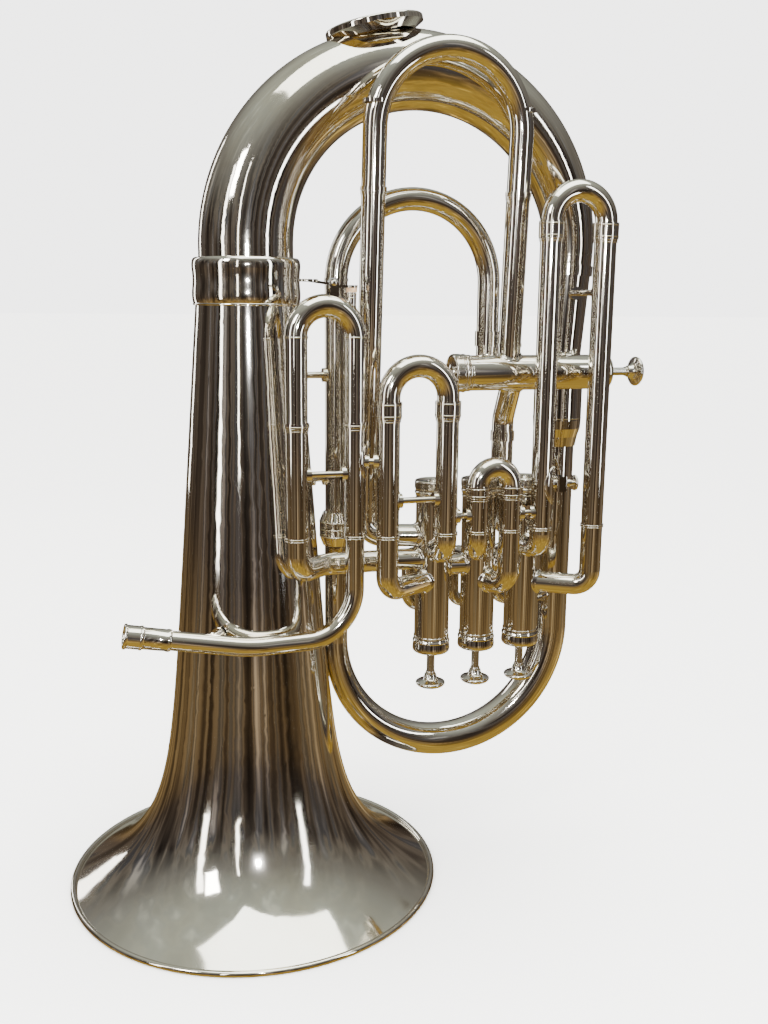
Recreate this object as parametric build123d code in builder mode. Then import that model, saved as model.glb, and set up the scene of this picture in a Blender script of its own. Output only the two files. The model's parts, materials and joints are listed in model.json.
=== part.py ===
from build123d import *
import math
import os

# Compensating euphonium with three upright valves and one side valve, standing on its bell.
# Origin: centre of the bell mouth, on the floor. +X runs in the plane of the two bows towards
# the tapered right leg, +Y runs away from the valves, +Z is up. Millimetres.

# --- overall sizes -----------------------------------------------------------------------
bell_rim_r = 150.0
bell_length = 482.0
bow_rise = 26.5
bow_spring_z = bell_length + bow_rise
bow_right_x = 267.0
lower_bow_right_x = 262.5
lower_bow_spring_z = 193.5

# --- tube stock and fits -----------------------------------------------------------------
tube_wall = 0.7
inner_wall = 0.6
branch_wall = 0.8
slide_fit = 0.05
solder_gap = 0.05
shoulder_gap = 0.3
slide_tube_r = 8.5
ferrule_proud = 1.25
loop_tube_r = 9.0
small_tube_r = 5.9
inner_tube_r = slide_tube_r - tube_wall - slide_fit
ring_height = 2.4
ring_proud = 0.55
bead_proud = 1.0

# --- bell --------------------------------------------------------------------------------
bell_throat_r = 37.3
bell_taper = 0.076
bell_flare_length = 37.0
bell_wall = 0.9
rim_wire_r = 2.3
rim_flat = 0.35
bell_ferrule_r = 39.8
bell_ferrule_below = 17.0
bell_ferrule_above = 18.0

# --- bows and legs -----------------------------------------------------------------------
bow_start_r = 35.5
bow_end_r = 19.5
bow_taper_power = 1.3
bow_sections = 8
guard_angle = 102.0
guard_r = 37.0
guard_height = 4.6
guard_rim = 4.0
guard_seat = 0.8
guard_sink = 4.5
guard_draft = 8.0
guard_dish = 1.6
right_leg_top_r = bow_end_r
right_leg_bottom_r = 15.3
right_leg_bottom_z = 401.0
lower_bow_thin_r = 9.25
lower_bow_thick_r = 15.0
lower_bow_taper_power = 2.2
right_cup_bottom_z = 359.0
right_cup_r = 20.0
left_joint_z = 289.0
left_ferrule_r = 13.5
left_ferrule_half = 13.5
arch_r = 8.9
arch_right_x = 197.0
arch_spring_z = 484.0
arch_foot_z = 440.0
arch_ring_z = 485.0

# --- leadpipe ----------------------------------------------------------------------------
leadpipe_r = 7.3
leadpipe_wall = 1.3
leadpipe_low_z = 216.5
leadpipe_bend_x = -13.0
leadpipe_end = (-104.0, 233.0)
leadpipe_bend_r = 38.0
receiver_length = 34.0
receiver_bore_r = 6.4
receiver_bore_length = 30.0
receiver_head = 14.0
receiver_head_r = 8.6
receiver_body_r = 8.1

# --- valves ------------------------------------------------------------------------------
casing_r = 13.85
casing_wall = 0.9
piston_fit = 0.04
valve_pitch = 39.0
valve_1_x = 139.5
valve_row_y = -38.0
valve_row_z = 190.5
side_valve_x = 289.0
side_valve_y = -33.0
side_valve_z = 414.5
valve_length = 141.5
side_valve_length = 135.0
cap_r = casing_r + 1.3
cap_plate = 2.0
cap_skirt = 12.5
casing_inset = 3.5
felt_thickness = 4.2
felt_r = casing_r - 2.85
vent_r = 2.5
stem_r = 3.25
stem_clearance = 0.35
piston_floor = 3.0
piston_wall = 1.0
spring_chamber = 32.0
piston_skirt = 12.0
valve_stroke = 17.5
passage_r = 7.0
passage_wall = 0.6
spring_wire_r = 0.6
spring_coil_r = casing_r - 4.35
spring_turns = 7
button_r = 12.0
button_height = 11.5
button_drop = valve_stroke + button_height + 1.0
port_r = 7.6

# --- slides ------------------------------------------------------------------------------
slide_y = -68.0
main_slide_y = -60.0
slide_ferrule_r = slide_tube_r + ferrule_proud
main_x = (24.5, 69.0)
main_spring_z = 443.2
main_mouth_z = 378.0
main_outlet_step = 27.5
main_outlet_bend = 20.0
slide_1_x = (92.5, 139.0)
slide_1_spring_z = 399.2
slide_1_mouth_z = 384.0
slide_2_x = (165.0, 192.0)
slide_2_spring_z = 330.6
slide_2_mouth_z = 322.0
slide_3_x = (218.5, 263.5)
slide_3_spring_z = 529.0
slide_3_mouth_z = 516.5
knuckle_ring_z = 295.0
knuckle_bend = 13.0
leadpipe_joint_z = 296.0

# --- long loop of the side valve, leaning forward ----------------------------------------
loop_x = (87.5, 202.3)
loop_lean = 0.0667
loop_spring_v = 162.0
loop_mouth_v = 118.0
loop_return_z = 287.0
loop_origin_z = 430.0
loop_insert = 80.0
loop_overlap = 20.0
loop_ring_rise = 18.0

# --- port heights on the valve row -------------------------------------------------------
main_port_z = 269.0
slide_1_low_z = 252.0
slide_high_z = 278.0
slide_2_low_z = 250.0
slide_3_low_z = 245.0
link_z = 262.0
link_r = 8.0
riser_x = 207.0
riser_top_z = 376.0
riser_r = 8.75
riser_y = valve_row_y + cap_r + riser_r + 0.1
riser_ring_z = 362.0

# --- compensating loops ------------------------------------------------------------------
comp_half_spacing = 10.0
comp_y = -8.0
comp_left_z = 267.0
comp_right_z = 258.0
comp_spring_z = 232.5
comp_ferrule = 6.0
comp_insert = 10.0
comp_bend = 9.0

# --- braces, water key, lyre holder ------------------------------------------------------
rod_r = 2.4
flange_r = 5.5
flange_height = 2.2
main_brace_z = 343.0
main_to_slide_1_z = 352.0
slide_1_brace_z = 322.0
low_brace_z = 308.0
valve_brace_z = 222.0
leg_brace_z = 477.0
bell_brace_zs = (412.0, 330.0)
leadpipe_brace_x = -46.0
key_x = 66.0
key_hinge_x = 52.0
key_hinge_z = 481.5
key_width = 5.0
key_reach = 18.0
nipple_top_z = 475.0
post_foot_z = 462.0
lyre_z = 330.0
plate_low_z = 262.0
plate_high_z = 350.0
plate_half_width = 11.0
plate_thickness = 0.6


def valve_x(number):
    """X of an upright valve's axis."""
    return valve_1_x + (number - 1) * valve_pitch


def valve_frame(number):
    """Plane at the outer end of the finger-side cap, its normal along the press stroke."""
    if number == 4:
        return Plane(origin=(side_valve_x, side_valve_y, side_valve_z), x_dir=(0, 1, 0), z_dir=(-1, 0, 0))
    return Plane(origin=(valve_x(number), valve_row_y, valve_row_z), x_dir=(1, 0, 0), z_dir=(0, 0, 1))


def valve_span(number):
    """Length of a valve over its two caps."""
    return side_valve_length if number == 4 else valve_length


def valve_axis_at(number, z):
    """Point on an upright valve's axis."""
    return (valve_x(number), valve_row_y, z)


def disc(plane, radius, bore_r=0):
    """A round face, or an annulus when it has a bore."""
    with BuildSketch(plane, mode=Mode.PRIVATE) as flat:
        Circle(radius)
        if bore_r:
            Circle(bore_r, mode=Mode.SUBTRACT)
    return flat.sketch


def bar(path, radius, mode=Mode.ADD):
    """A round bar along a path."""
    sweep(disc(Plane(origin=path @ 0, z_dir=path % 0), radius), path=path, mode=mode)


def rod(start, end, radius, mode=Mode.ADD):
    """A straight round rod between two points."""
    run = Vector(*end) - Vector(*start)
    extrude(disc(Plane(origin=start, z_dir=run), radius), amount=run.length, mode=mode)


def tube(path, outer_r, wall):
    """A hollow tube along a path."""
    bar(path, outer_r)
    bar(path, outer_r - wall, mode=Mode.SUBTRACT)


def ring(centre, direction, radius, height, bore_r):
    """A flat ring, its height centred on a point, with a bore that matches its tube."""
    extrude(disc(Plane(origin=centre, z_dir=direction), radius, bore_r), amount=height / 2, both=True)


def cut_valve(number):
    """Trims a tube back to the outside of a valve casing."""
    outline = disc(valve_frame(number), casing_r + solder_gap)
    extrude(outline, amount=valve_span(number), mode=Mode.SUBTRACT)


def finish(part_builder, name):
    """Names a finished piece and writes it."""
    part_builder.part.label = name
    export_step(part_builder.part, "parts/" + name + ".step")


def bell_radius(z):
    """Outside radius of the bell: a straight taper and an exponential flare."""
    flare = bell_rim_r - bell_throat_r - bell_taper * bell_length
    return bell_throat_r + bell_taper * (bell_length - z) + flare * math.exp(-z / bell_flare_length)


def tapered_bow(centre, radius, angles, radius_at, mode=Mode.ADD):
    """A curved cone in the XZ plane, lofted through round sections."""
    sections = []
    for step in range(bow_sections + 1):
        share = step / bow_sections
        angle = math.radians(angles[0] + (angles[1] - angles[0]) * share)
        turn = math.copysign(1, angles[1] - angles[0])
        spot = (centre[0] + radius * math.cos(angle), 0, centre[1] + radius * math.sin(angle))
        along = (-turn * math.sin(angle), 0, turn * math.cos(angle))
        with BuildSketch(Plane(origin=spot, z_dir=along), mode=Mode.PRIVATE) as section:
            Circle(radius_at(share))
        sections.append(section.sketch.faces()[0])
    loft(sections, mode=mode)


# --- places that follow the bell's size --------------------------------------------------
bell_clearance = 1.0
lower_bow_left_x = bell_radius(lower_bow_spring_z) + lower_bow_thin_r + bell_clearance
leadpipe_y = -(bell_radius(leadpipe_low_z) + leadpipe_r + 2 * bell_clearance)

# --- bell, rim wire, ferrule -------------------------------------------------------------
wire_centre = (bell_rim_r - rim_wire_r, rim_wire_r - rim_flat)


def bell_inside(z):
    """Point on the bell's inner surface, one wall in from the outer surface at a height."""
    slope = (bell_radius(z + 0.01) - bell_radius(z - 0.01)) / 0.02
    length = math.hypot(1, slope)
    return (bell_radius(z) - bell_wall / length, z + bell_wall * slope / length)


flare_heights = [1.2, 5, 10, 17, 27, 42, 62, 92, 135, 195, 285, 385]
outer_points = [(bell_radius(z), z) for z in flare_heights] + [(bell_radius(bell_length), bell_length)]
inner_points = [bell_inside(z) for z in flare_heights] + [(bell_radius(bell_length) - bell_wall, bell_length)]
with BuildPart() as bell:
    with BuildSketch(Plane.XZ):
        with BuildLine():
            Spline(*outer_points)
            Line(outer_points[-1], inner_points[-1])
            Spline(*inner_points)
            Line(inner_points[0], outer_points[0])
        make_face()
        with Locations(wire_centre):
            Circle(rim_wire_r + solder_gap, mode=Mode.SUBTRACT)
    revolve(axis=Axis.Z)
finish(bell, "bell")

with BuildPart() as bell_rim_wire:
    with BuildSketch(Plane.XZ):
        with Locations(wire_centre):
            Circle(rim_wire_r)
        with Locations((wire_centre[0], -rim_wire_r)):
            Rectangle(4 * rim_wire_r, 2 * rim_wire_r, mode=Mode.SUBTRACT)
    revolve(axis=Axis.Z)
finish(bell_rim_wire, "bell_rim_wire")

ferrule_low_z = bell_length - bell_ferrule_below
ferrule_high_z = bell_length + bell_ferrule_above
with BuildPart() as bell_ferrule:
    with BuildSketch(Plane.XY.offset(ferrule_low_z)):
        Circle(bell_ferrule_r)
    extrude(amount=ferrule_high_z - ferrule_low_z)
    for bead_z in (ferrule_low_z + 2, ferrule_high_z - 6):
        with BuildSketch(Plane.XY.offset(bead_z)):
            Circle(bell_ferrule_r + bead_proud)
        extrude(amount=4)
    edges_to_round = bell_ferrule.edges().filter_by(GeomType.CIRCLE).filter_by(
        lambda edge: abs(edge.radius - bell_ferrule_r - bead_proud) < 0.01
    )
    fillet(edges_to_round, radius=0.9)
    with BuildSketch(Plane.XY.offset(ferrule_low_z)):
        Circle(bell_radius(ferrule_low_z) + solder_gap)
    extrude(amount=bell_ferrule_below, mode=Mode.SUBTRACT)
    with BuildSketch(Plane.XY.offset(bell_length)):
        Circle(bow_start_r + solder_gap)
    extrude(amount=bell_ferrule_above, mode=Mode.SUBTRACT)
finish(bell_ferrule, "bell_ferrule")

# --- bottom bow and its guard cap --------------------------------------------------------
bow_centre = (bow_right_x / 2, bow_spring_z)
bow_radius = bow_right_x / 2


def bow_outer_r(share):
    """Outside radius along the bottom bow, from the bell side to the leg side."""
    return bow_start_r - (bow_start_r - bow_end_r) * share**bow_taper_power


def bow_inner_r(share):
    """Inside radius along the bottom bow."""
    return bow_outer_r(share) - branch_wall


with BuildPart() as bottom_bow:
    tapered_bow(bow_centre, bow_radius, (180, 0), bow_outer_r)
    rod((0, 0, bell_length), (0, 0, bow_spring_z), bow_start_r)
    tapered_bow(bow_centre, bow_radius, (180, 0), bow_inner_r, mode=Mode.SUBTRACT)
    rod((0, 0, bell_length), (0, 0, bow_spring_z), bow_start_r - branch_wall, mode=Mode.SUBTRACT)
finish(bottom_bow, "bottom_bow")

guard_turn = math.radians(guard_angle)
guard_out = (math.cos(guard_turn), 0, math.sin(guard_turn))
guard_share = (180 - guard_angle) / 180
guard_reach = bow_radius + bow_outer_r(guard_share) - guard_seat
guard_base = (
    bow_centre[0] + guard_out[0] * (guard_reach - guard_sink),
    0,
    bow_centre[1] + guard_out[2] * (guard_reach - guard_sink),
)
guard_plane = Plane(origin=guard_base, x_dir=(0, 1, 0), z_dir=guard_out)
with BuildPart() as bow_guard_cap:
    with BuildSketch(guard_plane):
        Circle(guard_r - guard_draft)
    with BuildSketch(guard_plane.offset(guard_sink)):
        Circle(guard_r)
    loft()
    with BuildSketch(guard_plane.offset(guard_sink)):
        Circle(guard_r)
    extrude(amount=guard_height)
    fillet(bow_guard_cap.faces().sort_by(Axis.Z)[-1].edges(), radius=1.5)
    with BuildSketch(guard_plane.offset(guard_sink + guard_height)):
        Circle(guard_r - guard_rim)
    extrude(amount=-guard_dish, mode=Mode.SUBTRACT)
    tapered_bow(bow_centre, bow_radius, (180, 0), lambda share: bow_outer_r(share) + solder_gap, mode=Mode.SUBTRACT)
finish(bow_guard_cap, "bow_guard_cap")

# --- right leg ---------------------------------------------------------------------------
leg_top = Vector(bow_right_x, 0, bow_spring_z)
leg_foot = Vector(lower_bow_right_x, 0, right_leg_bottom_z)
leg_run = (leg_foot - leg_top).normalized()


def leg_axis_at(z):
    """Point on the right leg's slanting axis."""
    return leg_top + leg_run * ((leg_top.Z - z) / -leg_run.Z)


def leg_cone(top_r, bottom_r, mode):
    """The right leg's cone, square to its slanting axis."""
    with BuildSketch(Plane(origin=leg_top, z_dir=leg_run), mode=Mode.PRIVATE) as top:
        Circle(top_r)
    with BuildSketch(Plane(origin=leg_foot, z_dir=leg_run), mode=Mode.PRIVATE) as foot:
        Circle(bottom_r)
    loft([top.sketch.faces()[0], foot.sketch.faces()[0]], mode=mode)


with BuildPart() as right_leg_tube:
    leg_cone(right_leg_top_r, right_leg_bottom_r, Mode.ADD)
    with BuildSketch(Plane(origin=leg_axis_at(bow_spring_z - 9), z_dir=leg_run)):
        Circle(right_leg_top_r + bead_proud)
    extrude(amount=8)
    leg_cone(right_leg_top_r - branch_wall, right_leg_bottom_r - branch_wall, Mode.SUBTRACT)
    split(bisect_by=Plane.XY.offset(bow_spring_z - 0.02), keep=Keep.BOTTOM)
    split(bisect_by=Plane.XY.offset(right_leg_bottom_z + 0.6), keep=Keep.TOP)
finish(right_leg_tube, "right_leg_tube")

with BuildPart() as right_leg_ferrule:
    with BuildSketch(Plane.XZ):
        with BuildLine():
            Polyline(
                (lower_bow_right_x + lower_bow_thick_r + solder_gap, right_cup_bottom_z - 8),
                (lower_bow_right_x + lower_bow_thick_r + 0.9, right_cup_bottom_z - 8),
                (lower_bow_right_x + right_cup_r - 2.6, right_cup_bottom_z),
                (lower_bow_right_x + right_cup_r - 0.4, right_cup_bottom_z + 7),
                (lower_bow_right_x + right_cup_r, right_cup_bottom_z + 14),
                (lower_bow_right_x + right_cup_r, right_leg_bottom_z + 5),
                (lower_bow_right_x + right_leg_bottom_r + 1.0, right_leg_bottom_z + 5),
                (lower_bow_right_x + right_leg_bottom_r + 1.0, right_leg_bottom_z),
                (lower_bow_right_x + lower_bow_thick_r + solder_gap, right_cup_bottom_z),
                close=True,
            )
        make_face()
    revolve(axis=Axis((lower_bow_right_x, 0, 0), (0, 0, 1)))
finish(right_leg_ferrule, "right_leg_ferrule")

# --- lower bow ---------------------------------------------------------------------------
lower_centre = ((lower_bow_left_x + lower_bow_right_x) / 2, lower_bow_spring_z)
lower_radius = (lower_bow_right_x - lower_bow_left_x) / 2


def lower_outer_r(share):
    """Outside radius along the lower bow, from its thin left end to its right end."""
    step = (lower_bow_thick_r - lower_bow_thin_r) * (1 - share) ** lower_bow_taper_power
    return lower_bow_thick_r - step


def lower_inner_r(share):
    """Inside radius along the lower bow."""
    return lower_outer_r(share) - branch_wall


with BuildPart() as lower_bow:
    for shrink, section_r, mode in ((0, lower_outer_r, Mode.ADD), (branch_wall, lower_inner_r, Mode.SUBTRACT)):
        tapered_bow(lower_centre, lower_radius, (180, 360), section_r, mode=mode)
        left_low = (lower_bow_left_x, 0, lower_bow_spring_z)
        right_low = (lower_bow_right_x, 0, lower_bow_spring_z)
        rod(left_low, (lower_bow_left_x, 0, left_joint_z - solder_gap), lower_bow_thin_r - shrink, mode=mode)
        rod(right_low, (lower_bow_right_x, 0, right_cup_bottom_z), lower_bow_thick_r - shrink, mode=mode)
finish(lower_bow, "lower_bow")

with BuildPart() as left_leg_ferrule:
    with BuildSketch(Plane.XZ):
        with BuildLine():
            Polyline(
                (lower_bow_left_x + lower_bow_thin_r + solder_gap, left_joint_z - left_ferrule_half),
                (lower_bow_left_x + lower_bow_thin_r + 1.6, left_joint_z - left_ferrule_half),
                (lower_bow_left_x + left_ferrule_r, left_joint_z - left_ferrule_half + 7),
                (lower_bow_left_x + left_ferrule_r, left_joint_z + left_ferrule_half - 7),
                (lower_bow_left_x + arch_r + 1.6, left_joint_z + left_ferrule_half),
                (lower_bow_left_x + arch_r + solder_gap, left_joint_z + left_ferrule_half),
                (lower_bow_left_x + arch_r + solder_gap, left_joint_z),
                (lower_bow_left_x + lower_bow_thin_r + solder_gap, left_joint_z),
                close=True,
            )
        make_face()
    revolve(axis=Axis((lower_bow_left_x, 0, 0), (0, 0, 1)))
    rims = left_leg_ferrule.edges().filter_by(GeomType.CIRCLE).filter_by(
        lambda edge: abs(edge.radius - left_ferrule_r) < 0.01
    )
    fillet(rims, radius=1.5)
finish(left_leg_ferrule, "left_leg_ferrule")

# --- arch and its elbow ------------------------------------------------------------------
arch_mid_x = (lower_bow_left_x + arch_right_x) / 2
arch_half = (arch_right_x - lower_bow_left_x) / 2
with BuildLine(Plane.XZ) as arch_line:
    Line((arch_right_x, arch_foot_z), (arch_right_x, arch_spring_z))
    CenterArc((arch_mid_x, arch_spring_z), arch_half, 0, 180)
    Line((lower_bow_left_x, arch_spring_z), (lower_bow_left_x, left_joint_z))
with BuildPart() as arch_tube:
    tube(arch_line.wire(), arch_r, tube_wall)
    ring((lower_bow_left_x, 0, arch_ring_z), (0, 0, 1), arch_r + ring_proud, ring_height, arch_r - tube_wall / 2)
finish(arch_tube, "arch_tube")

elbow_line = FilletPolyline(
    (arch_right_x, 0, arch_foot_z),
    (arch_right_x, 0, side_valve_z),
    (arch_right_x, side_valve_y, side_valve_z),
    radius=14,
)
with BuildPart() as arch_elbow:
    tube(elbow_line, arch_r, tube_wall)
    collar_foot = (arch_right_x, 0, arch_foot_z - 6)
    with BuildSketch(Plane(origin=collar_foot, z_dir=(0, 0, 1))):
        Circle(arch_r + 1.2)
        Circle(arch_r - 0.1, mode=Mode.SUBTRACT)
    extrude(amount=12)
    with BuildSketch(Plane.XY.offset(arch_foot_z)):
        with Locations((arch_right_x, 0)):
            Circle(arch_r + solder_gap)
    extrude(amount=12, mode=Mode.SUBTRACT)
    cut_valve(4)
finish(arch_elbow, "arch_elbow")

# --- leadpipe and receiver ---------------------------------------------------------------
pipe_mouth = Vector(leadpipe_end[0], leadpipe_y, leadpipe_end[1])
pipe_corner = Vector(leadpipe_bend_x, leadpipe_y, leadpipe_low_z)
pipe_out = (pipe_mouth - pipe_corner).normalized()
pipe_seat = pipe_mouth - pipe_out * receiver_bore_length
leadpipe_line = FilletPolyline(
    pipe_seat,
    pipe_corner,
    (main_x[1], main_slide_y, leadpipe_low_z),
    (main_x[1], main_slide_y, leadpipe_joint_z),
    radius=[120, leadpipe_bend_r],
)
with BuildPart() as leadpipe:
    tube(leadpipe_line, leadpipe_r, leadpipe_wall)
finish(leadpipe, "leadpipe")

receiver_plane = Plane(origin=pipe_mouth, z_dir=-pipe_out)
with BuildPart() as mouthpiece_receiver:
    with BuildSketch(receiver_plane):
        Circle(receiver_head_r)
    extrude(amount=receiver_head)
    with BuildSketch(receiver_plane):
        Circle(receiver_body_r)
    extrude(amount=receiver_length)
    with BuildSketch(receiver_plane):
        Circle(receiver_head_r + 0.8)
    extrude(amount=2.5)
    ends = mouthpiece_receiver.edges().filter_by(GeomType.CIRCLE).filter_by(
        lambda edge: abs(edge.radius - receiver_head_r - 0.8) < 0.01
    )
    fillet(ends, radius=0.7)
    with BuildSketch(receiver_plane):
        Circle(receiver_bore_r)
    extrude(amount=receiver_bore_length, mode=Mode.SUBTRACT)
    with BuildSketch(receiver_plane.offset(receiver_bore_length)):
        Circle(leadpipe_r + solder_gap)
    extrude(amount=receiver_length, mode=Mode.SUBTRACT)
finish(mouthpiece_receiver, "mouthpiece_receiver")


# --- slides ------------------------------------------------------------------------------
def slide_plane(y):
    """Upright plane of a slide: local x is X, local y is Z."""
    return Plane(origin=(0, y, 0), x_dir=(1, 0, 0), z_dir=(0, -1, 0))


lean_length = math.hypot(1, loop_lean)
loop_plane = Plane(
    origin=(0, side_valve_y, loop_origin_z),
    x_dir=(1, 0, 0),
    z_dir=(0, -1 / lean_length, -loop_lean / lean_length),
)
loop_up = loop_plane.y_dir


def loop_point(x, v):
    """Point in the leaning plane of the long loop."""
    return loop_plane.from_local_coords((x, v, 0))


def crook_line(plane, x_pair, spring_v, mouth_v):
    """Two straight legs and the half circle that joins them."""
    middle = (x_pair[0] + x_pair[1]) / 2
    half = (x_pair[1] - x_pair[0]) / 2
    side = math.copysign(1, spring_v - mouth_v)
    with BuildLine(plane) as line:
        Line((x_pair[0], mouth_v), (x_pair[0], spring_v))
        CenterArc((middle, spring_v), half, 180, -180 * side)
        Line((x_pair[1], spring_v), (x_pair[1], mouth_v))
    return line.wire()


def crook(plane, x_pair, spring_v, mouth_v, tube_r, ferrule_r, ring_vs, ferrule_length):
    """Slide crook: a bent tube with a ferrule at the foot of each leg."""
    up = math.copysign(1, spring_v - mouth_v)
    foot_v = mouth_v + up * shoulder_gap
    line = crook_line(plane, x_pair, spring_v, foot_v)
    bar(line, tube_r)
    for x in x_pair:
        foot = plane.from_local_coords((x, foot_v, 0))
        extrude(disc(Plane(origin=foot, z_dir=plane.y_dir * up), ferrule_r), amount=ferrule_length)
        for ring_v in ring_vs:
            spot = plane.from_local_coords((x, ring_v, 0))
            ring(spot, plane.y_dir, tube_r + ring_proud, ring_height, tube_r - tube_wall / 2)
    bar(line, tube_r - tube_wall, mode=Mode.SUBTRACT)


def inner_tubes(plane, x_pair, top_v, bottom_v, radius, wall):
    """The two straight tubes that slide in the outer legs."""
    for x in x_pair:
        foot = plane.from_local_coords((x, bottom_v, 0))
        extrude(disc(Plane(origin=foot, z_dir=plane.y_dir), radius, radius - wall), amount=top_v - bottom_v)


def outer_leg(points, tube_r, valve, ring_spots, bends=knuckle_bend):
    """A fixed leg: straight slide tube, knuckle, and the end trimmed to its casing."""
    line = FilletPolyline(*points, radius=bends)
    with BuildPart() as leg:
        bar(line, tube_r)
        for spot, direction in ring_spots:
            ring(spot, direction, tube_r + ring_proud, ring_height, tube_r - tube_wall / 2)
        bar(line, tube_r - tube_wall, mode=Mode.SUBTRACT)
        cut_valve(valve)
    return leg.part


def upright_rings(x, y, mouth_z):
    """Mouth ring and knuckle ring of an upright leg."""
    return [((x, y, mouth_z - ring_height / 2), (0, 0, 1)), ((x, y, knuckle_ring_z), (0, 0, 1))]


def fixed_leg(x, y, mouth_z, port_z, valve):
    """Outer leg from its mouth down to a knuckle that meets a valve straight on."""
    points = [(x, y, mouth_z), (x, y, port_z), valve_axis_at(valve, port_z)]
    return outer_leg(points, slide_tube_r, valve, upright_rings(x, y, mouth_z))


main_plane = slide_plane(main_slide_y)
front_plane = slide_plane(slide_y)
inlet_top = (main_x[1], main_slide_y, main_mouth_z)
inlet_foot = (main_x[1], main_slide_y, leadpipe_joint_z)
outlet_leg = outer_leg(
    [
        (main_x[0], main_slide_y, main_mouth_z),
        (main_x[0], main_slide_y, main_port_z),
        (main_x[0] + main_outlet_step, valve_row_y, main_port_z),
        valve_axis_at(1, main_port_z),
    ],
    slide_tube_r,
    1,
    upright_rings(main_x[0], main_slide_y, main_mouth_z),
    bends=[knuckle_bend, main_outlet_bend],
)
with BuildPart() as main_slide_outlet_tube:
    add(outlet_leg)
finish(main_slide_outlet_tube, "main_slide_outlet_tube")

with BuildPart() as main_slide_inlet_tube:
    rod(inlet_foot, inlet_top, slide_tube_r)
    for ring_z in (main_mouth_z - ring_height / 2, leadpipe_joint_z + ring_height / 2):
        spot = (main_x[1], main_slide_y, ring_z)
        ring(spot, (0, 0, 1), slide_tube_r + ring_proud, ring_height, slide_tube_r - tube_wall / 2)
    rod(inlet_foot, inlet_top, slide_tube_r - tube_wall, mode=Mode.SUBTRACT)
finish(main_slide_inlet_tube, "main_slide_inlet_tube")

slides = {
    "main_slide": (main_plane, main_x, main_spring_z, main_mouth_z, 3.0, [main_spring_z], 70.0),
    "slide_1": (front_plane, slide_1_x, slide_1_spring_z, slide_1_mouth_z, 12.0, [], 70.0),
    "slide_2": (front_plane, slide_2_x, slide_2_spring_z, slide_2_mouth_z, 8.5, [], 26.0),
    "slide_3": (front_plane, slide_3_x, slide_3_spring_z, slide_3_mouth_z, 12.0, [], 110.0),
}
for name, (plane, x_pair, spring_z, mouth_z, ferrule, rings, insert) in slides.items():
    with BuildPart() as slide_crook:
        crook(plane, x_pair, spring_z, mouth_z, slide_tube_r, slide_ferrule_r, rings, ferrule)
    finish(slide_crook, name + "_crook")
    with BuildPart() as slide_inner:
        inner_tubes(plane, x_pair, mouth_z + ferrule - 1, mouth_z - insert, inner_tube_r, inner_wall)
    finish(slide_inner, name + "_inner_tubes")

legs = {
    "slide_1": (slide_1_x, slide_1_mouth_z, (slide_1_low_z, slide_high_z), 1),
    "slide_2": (slide_2_x, slide_2_mouth_z, (slide_high_z, slide_2_low_z), 2),
    "slide_3": (slide_3_x, slide_3_mouth_z, (slide_high_z, slide_3_low_z), 3),
}
for name, (x_pair, mouth_z, ports, valve) in legs.items():
    pair = [fixed_leg(x, slide_y, mouth_z, port_z, valve) for x, port_z in zip(x_pair, ports)]
    with BuildPart() as outer_tubes:
        add(pair)
    finish(outer_tubes, name + "_outer_tubes")

# --- long loop of the side valve ---------------------------------------------------------
loop_inner_r = loop_tube_r - tube_wall - slide_fit
with BuildPart() as slide_4_crook:
    crook(loop_plane, loop_x, loop_spring_v, loop_mouth_v, loop_tube_r, loop_tube_r + 0.9, [loop_spring_v + loop_ring_rise], 3.0)
finish(slide_4_crook, "slide_4_crook")
with BuildPart() as slide_4_inner_tubes:
    inner_tubes(loop_plane, loop_x, loop_mouth_v + loop_overlap, loop_mouth_v - loop_insert, loop_inner_r, inner_wall)
finish(slide_4_inner_tubes, "slide_4_inner_tubes")

return_y = side_valve_y + (loop_origin_z - loop_return_z) * loop_lean
loop_leg = outer_leg(
    [loop_point(loop_x[0], loop_mouth_v), (loop_x[0], return_y, loop_return_z), valve_axis_at(1, loop_return_z)],
    loop_tube_r,
    1,
    [(loop_point(loop_x[0], loop_mouth_v - ring_height / 2), loop_up)],
)
saddle_v = (side_valve_z - loop_origin_z) * lean_length
with BuildPart() as slide_4_outer_tubes:
    rod(loop_point(loop_x[1], saddle_v), loop_point(loop_x[1], loop_mouth_v), loop_tube_r)
    for ring_v in (loop_mouth_v - ring_height / 2, saddle_v + casing_r + 8):
        ring(
            loop_point(loop_x[1], ring_v), loop_up, loop_tube_r + ring_proud, ring_height, loop_tube_r - tube_wall / 2
        )
    rod(
        loop_point(loop_x[1], saddle_v),
        loop_point(loop_x[1], loop_mouth_v),
        loop_tube_r - tube_wall,
        mode=Mode.SUBTRACT,
    )
    cut_valve(4)
    add(loop_leg)
finish(slide_4_outer_tubes, "slide_4_outer_tubes")

# --- links between the valves ------------------------------------------------------------
riser_line = FilletPolyline(
    (riser_x, side_valve_y, side_valve_z),
    (riser_x, riser_y, riser_top_z),
    (riser_x, riser_y, loop_return_z),
    valve_axis_at(3, loop_return_z),
    radius=[18, 12],
)


def link_between(left_valve):
    """Short tube from one casing to the next."""
    ends = [valve_axis_at(left_valve, link_z), valve_axis_at(left_valve + 1, link_z)]
    with BuildPart() as link:
        rod(*ends, link_r)
        rod(*ends, link_r - tube_wall, mode=Mode.SUBTRACT)
        cut_valve(left_valve)
        cut_valve(left_valve + 1)
    return link.part


links = [link_between(left_valve) for left_valve in (1, 2)]
with BuildPart() as valve_link_tubes:
    bar(riser_line, riser_r)
    ring((riser_x, riser_y, riser_ring_z), (0, 0, 1), riser_r + 1.0, 8, riser_r - tube_wall / 2)
    bar(riser_line, riser_r - tube_wall, mode=Mode.SUBTRACT)
    cut_valve(3)
    cut_valve(4)
    add(links)
finish(valve_link_tubes, "valve_link_tubes")

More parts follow.
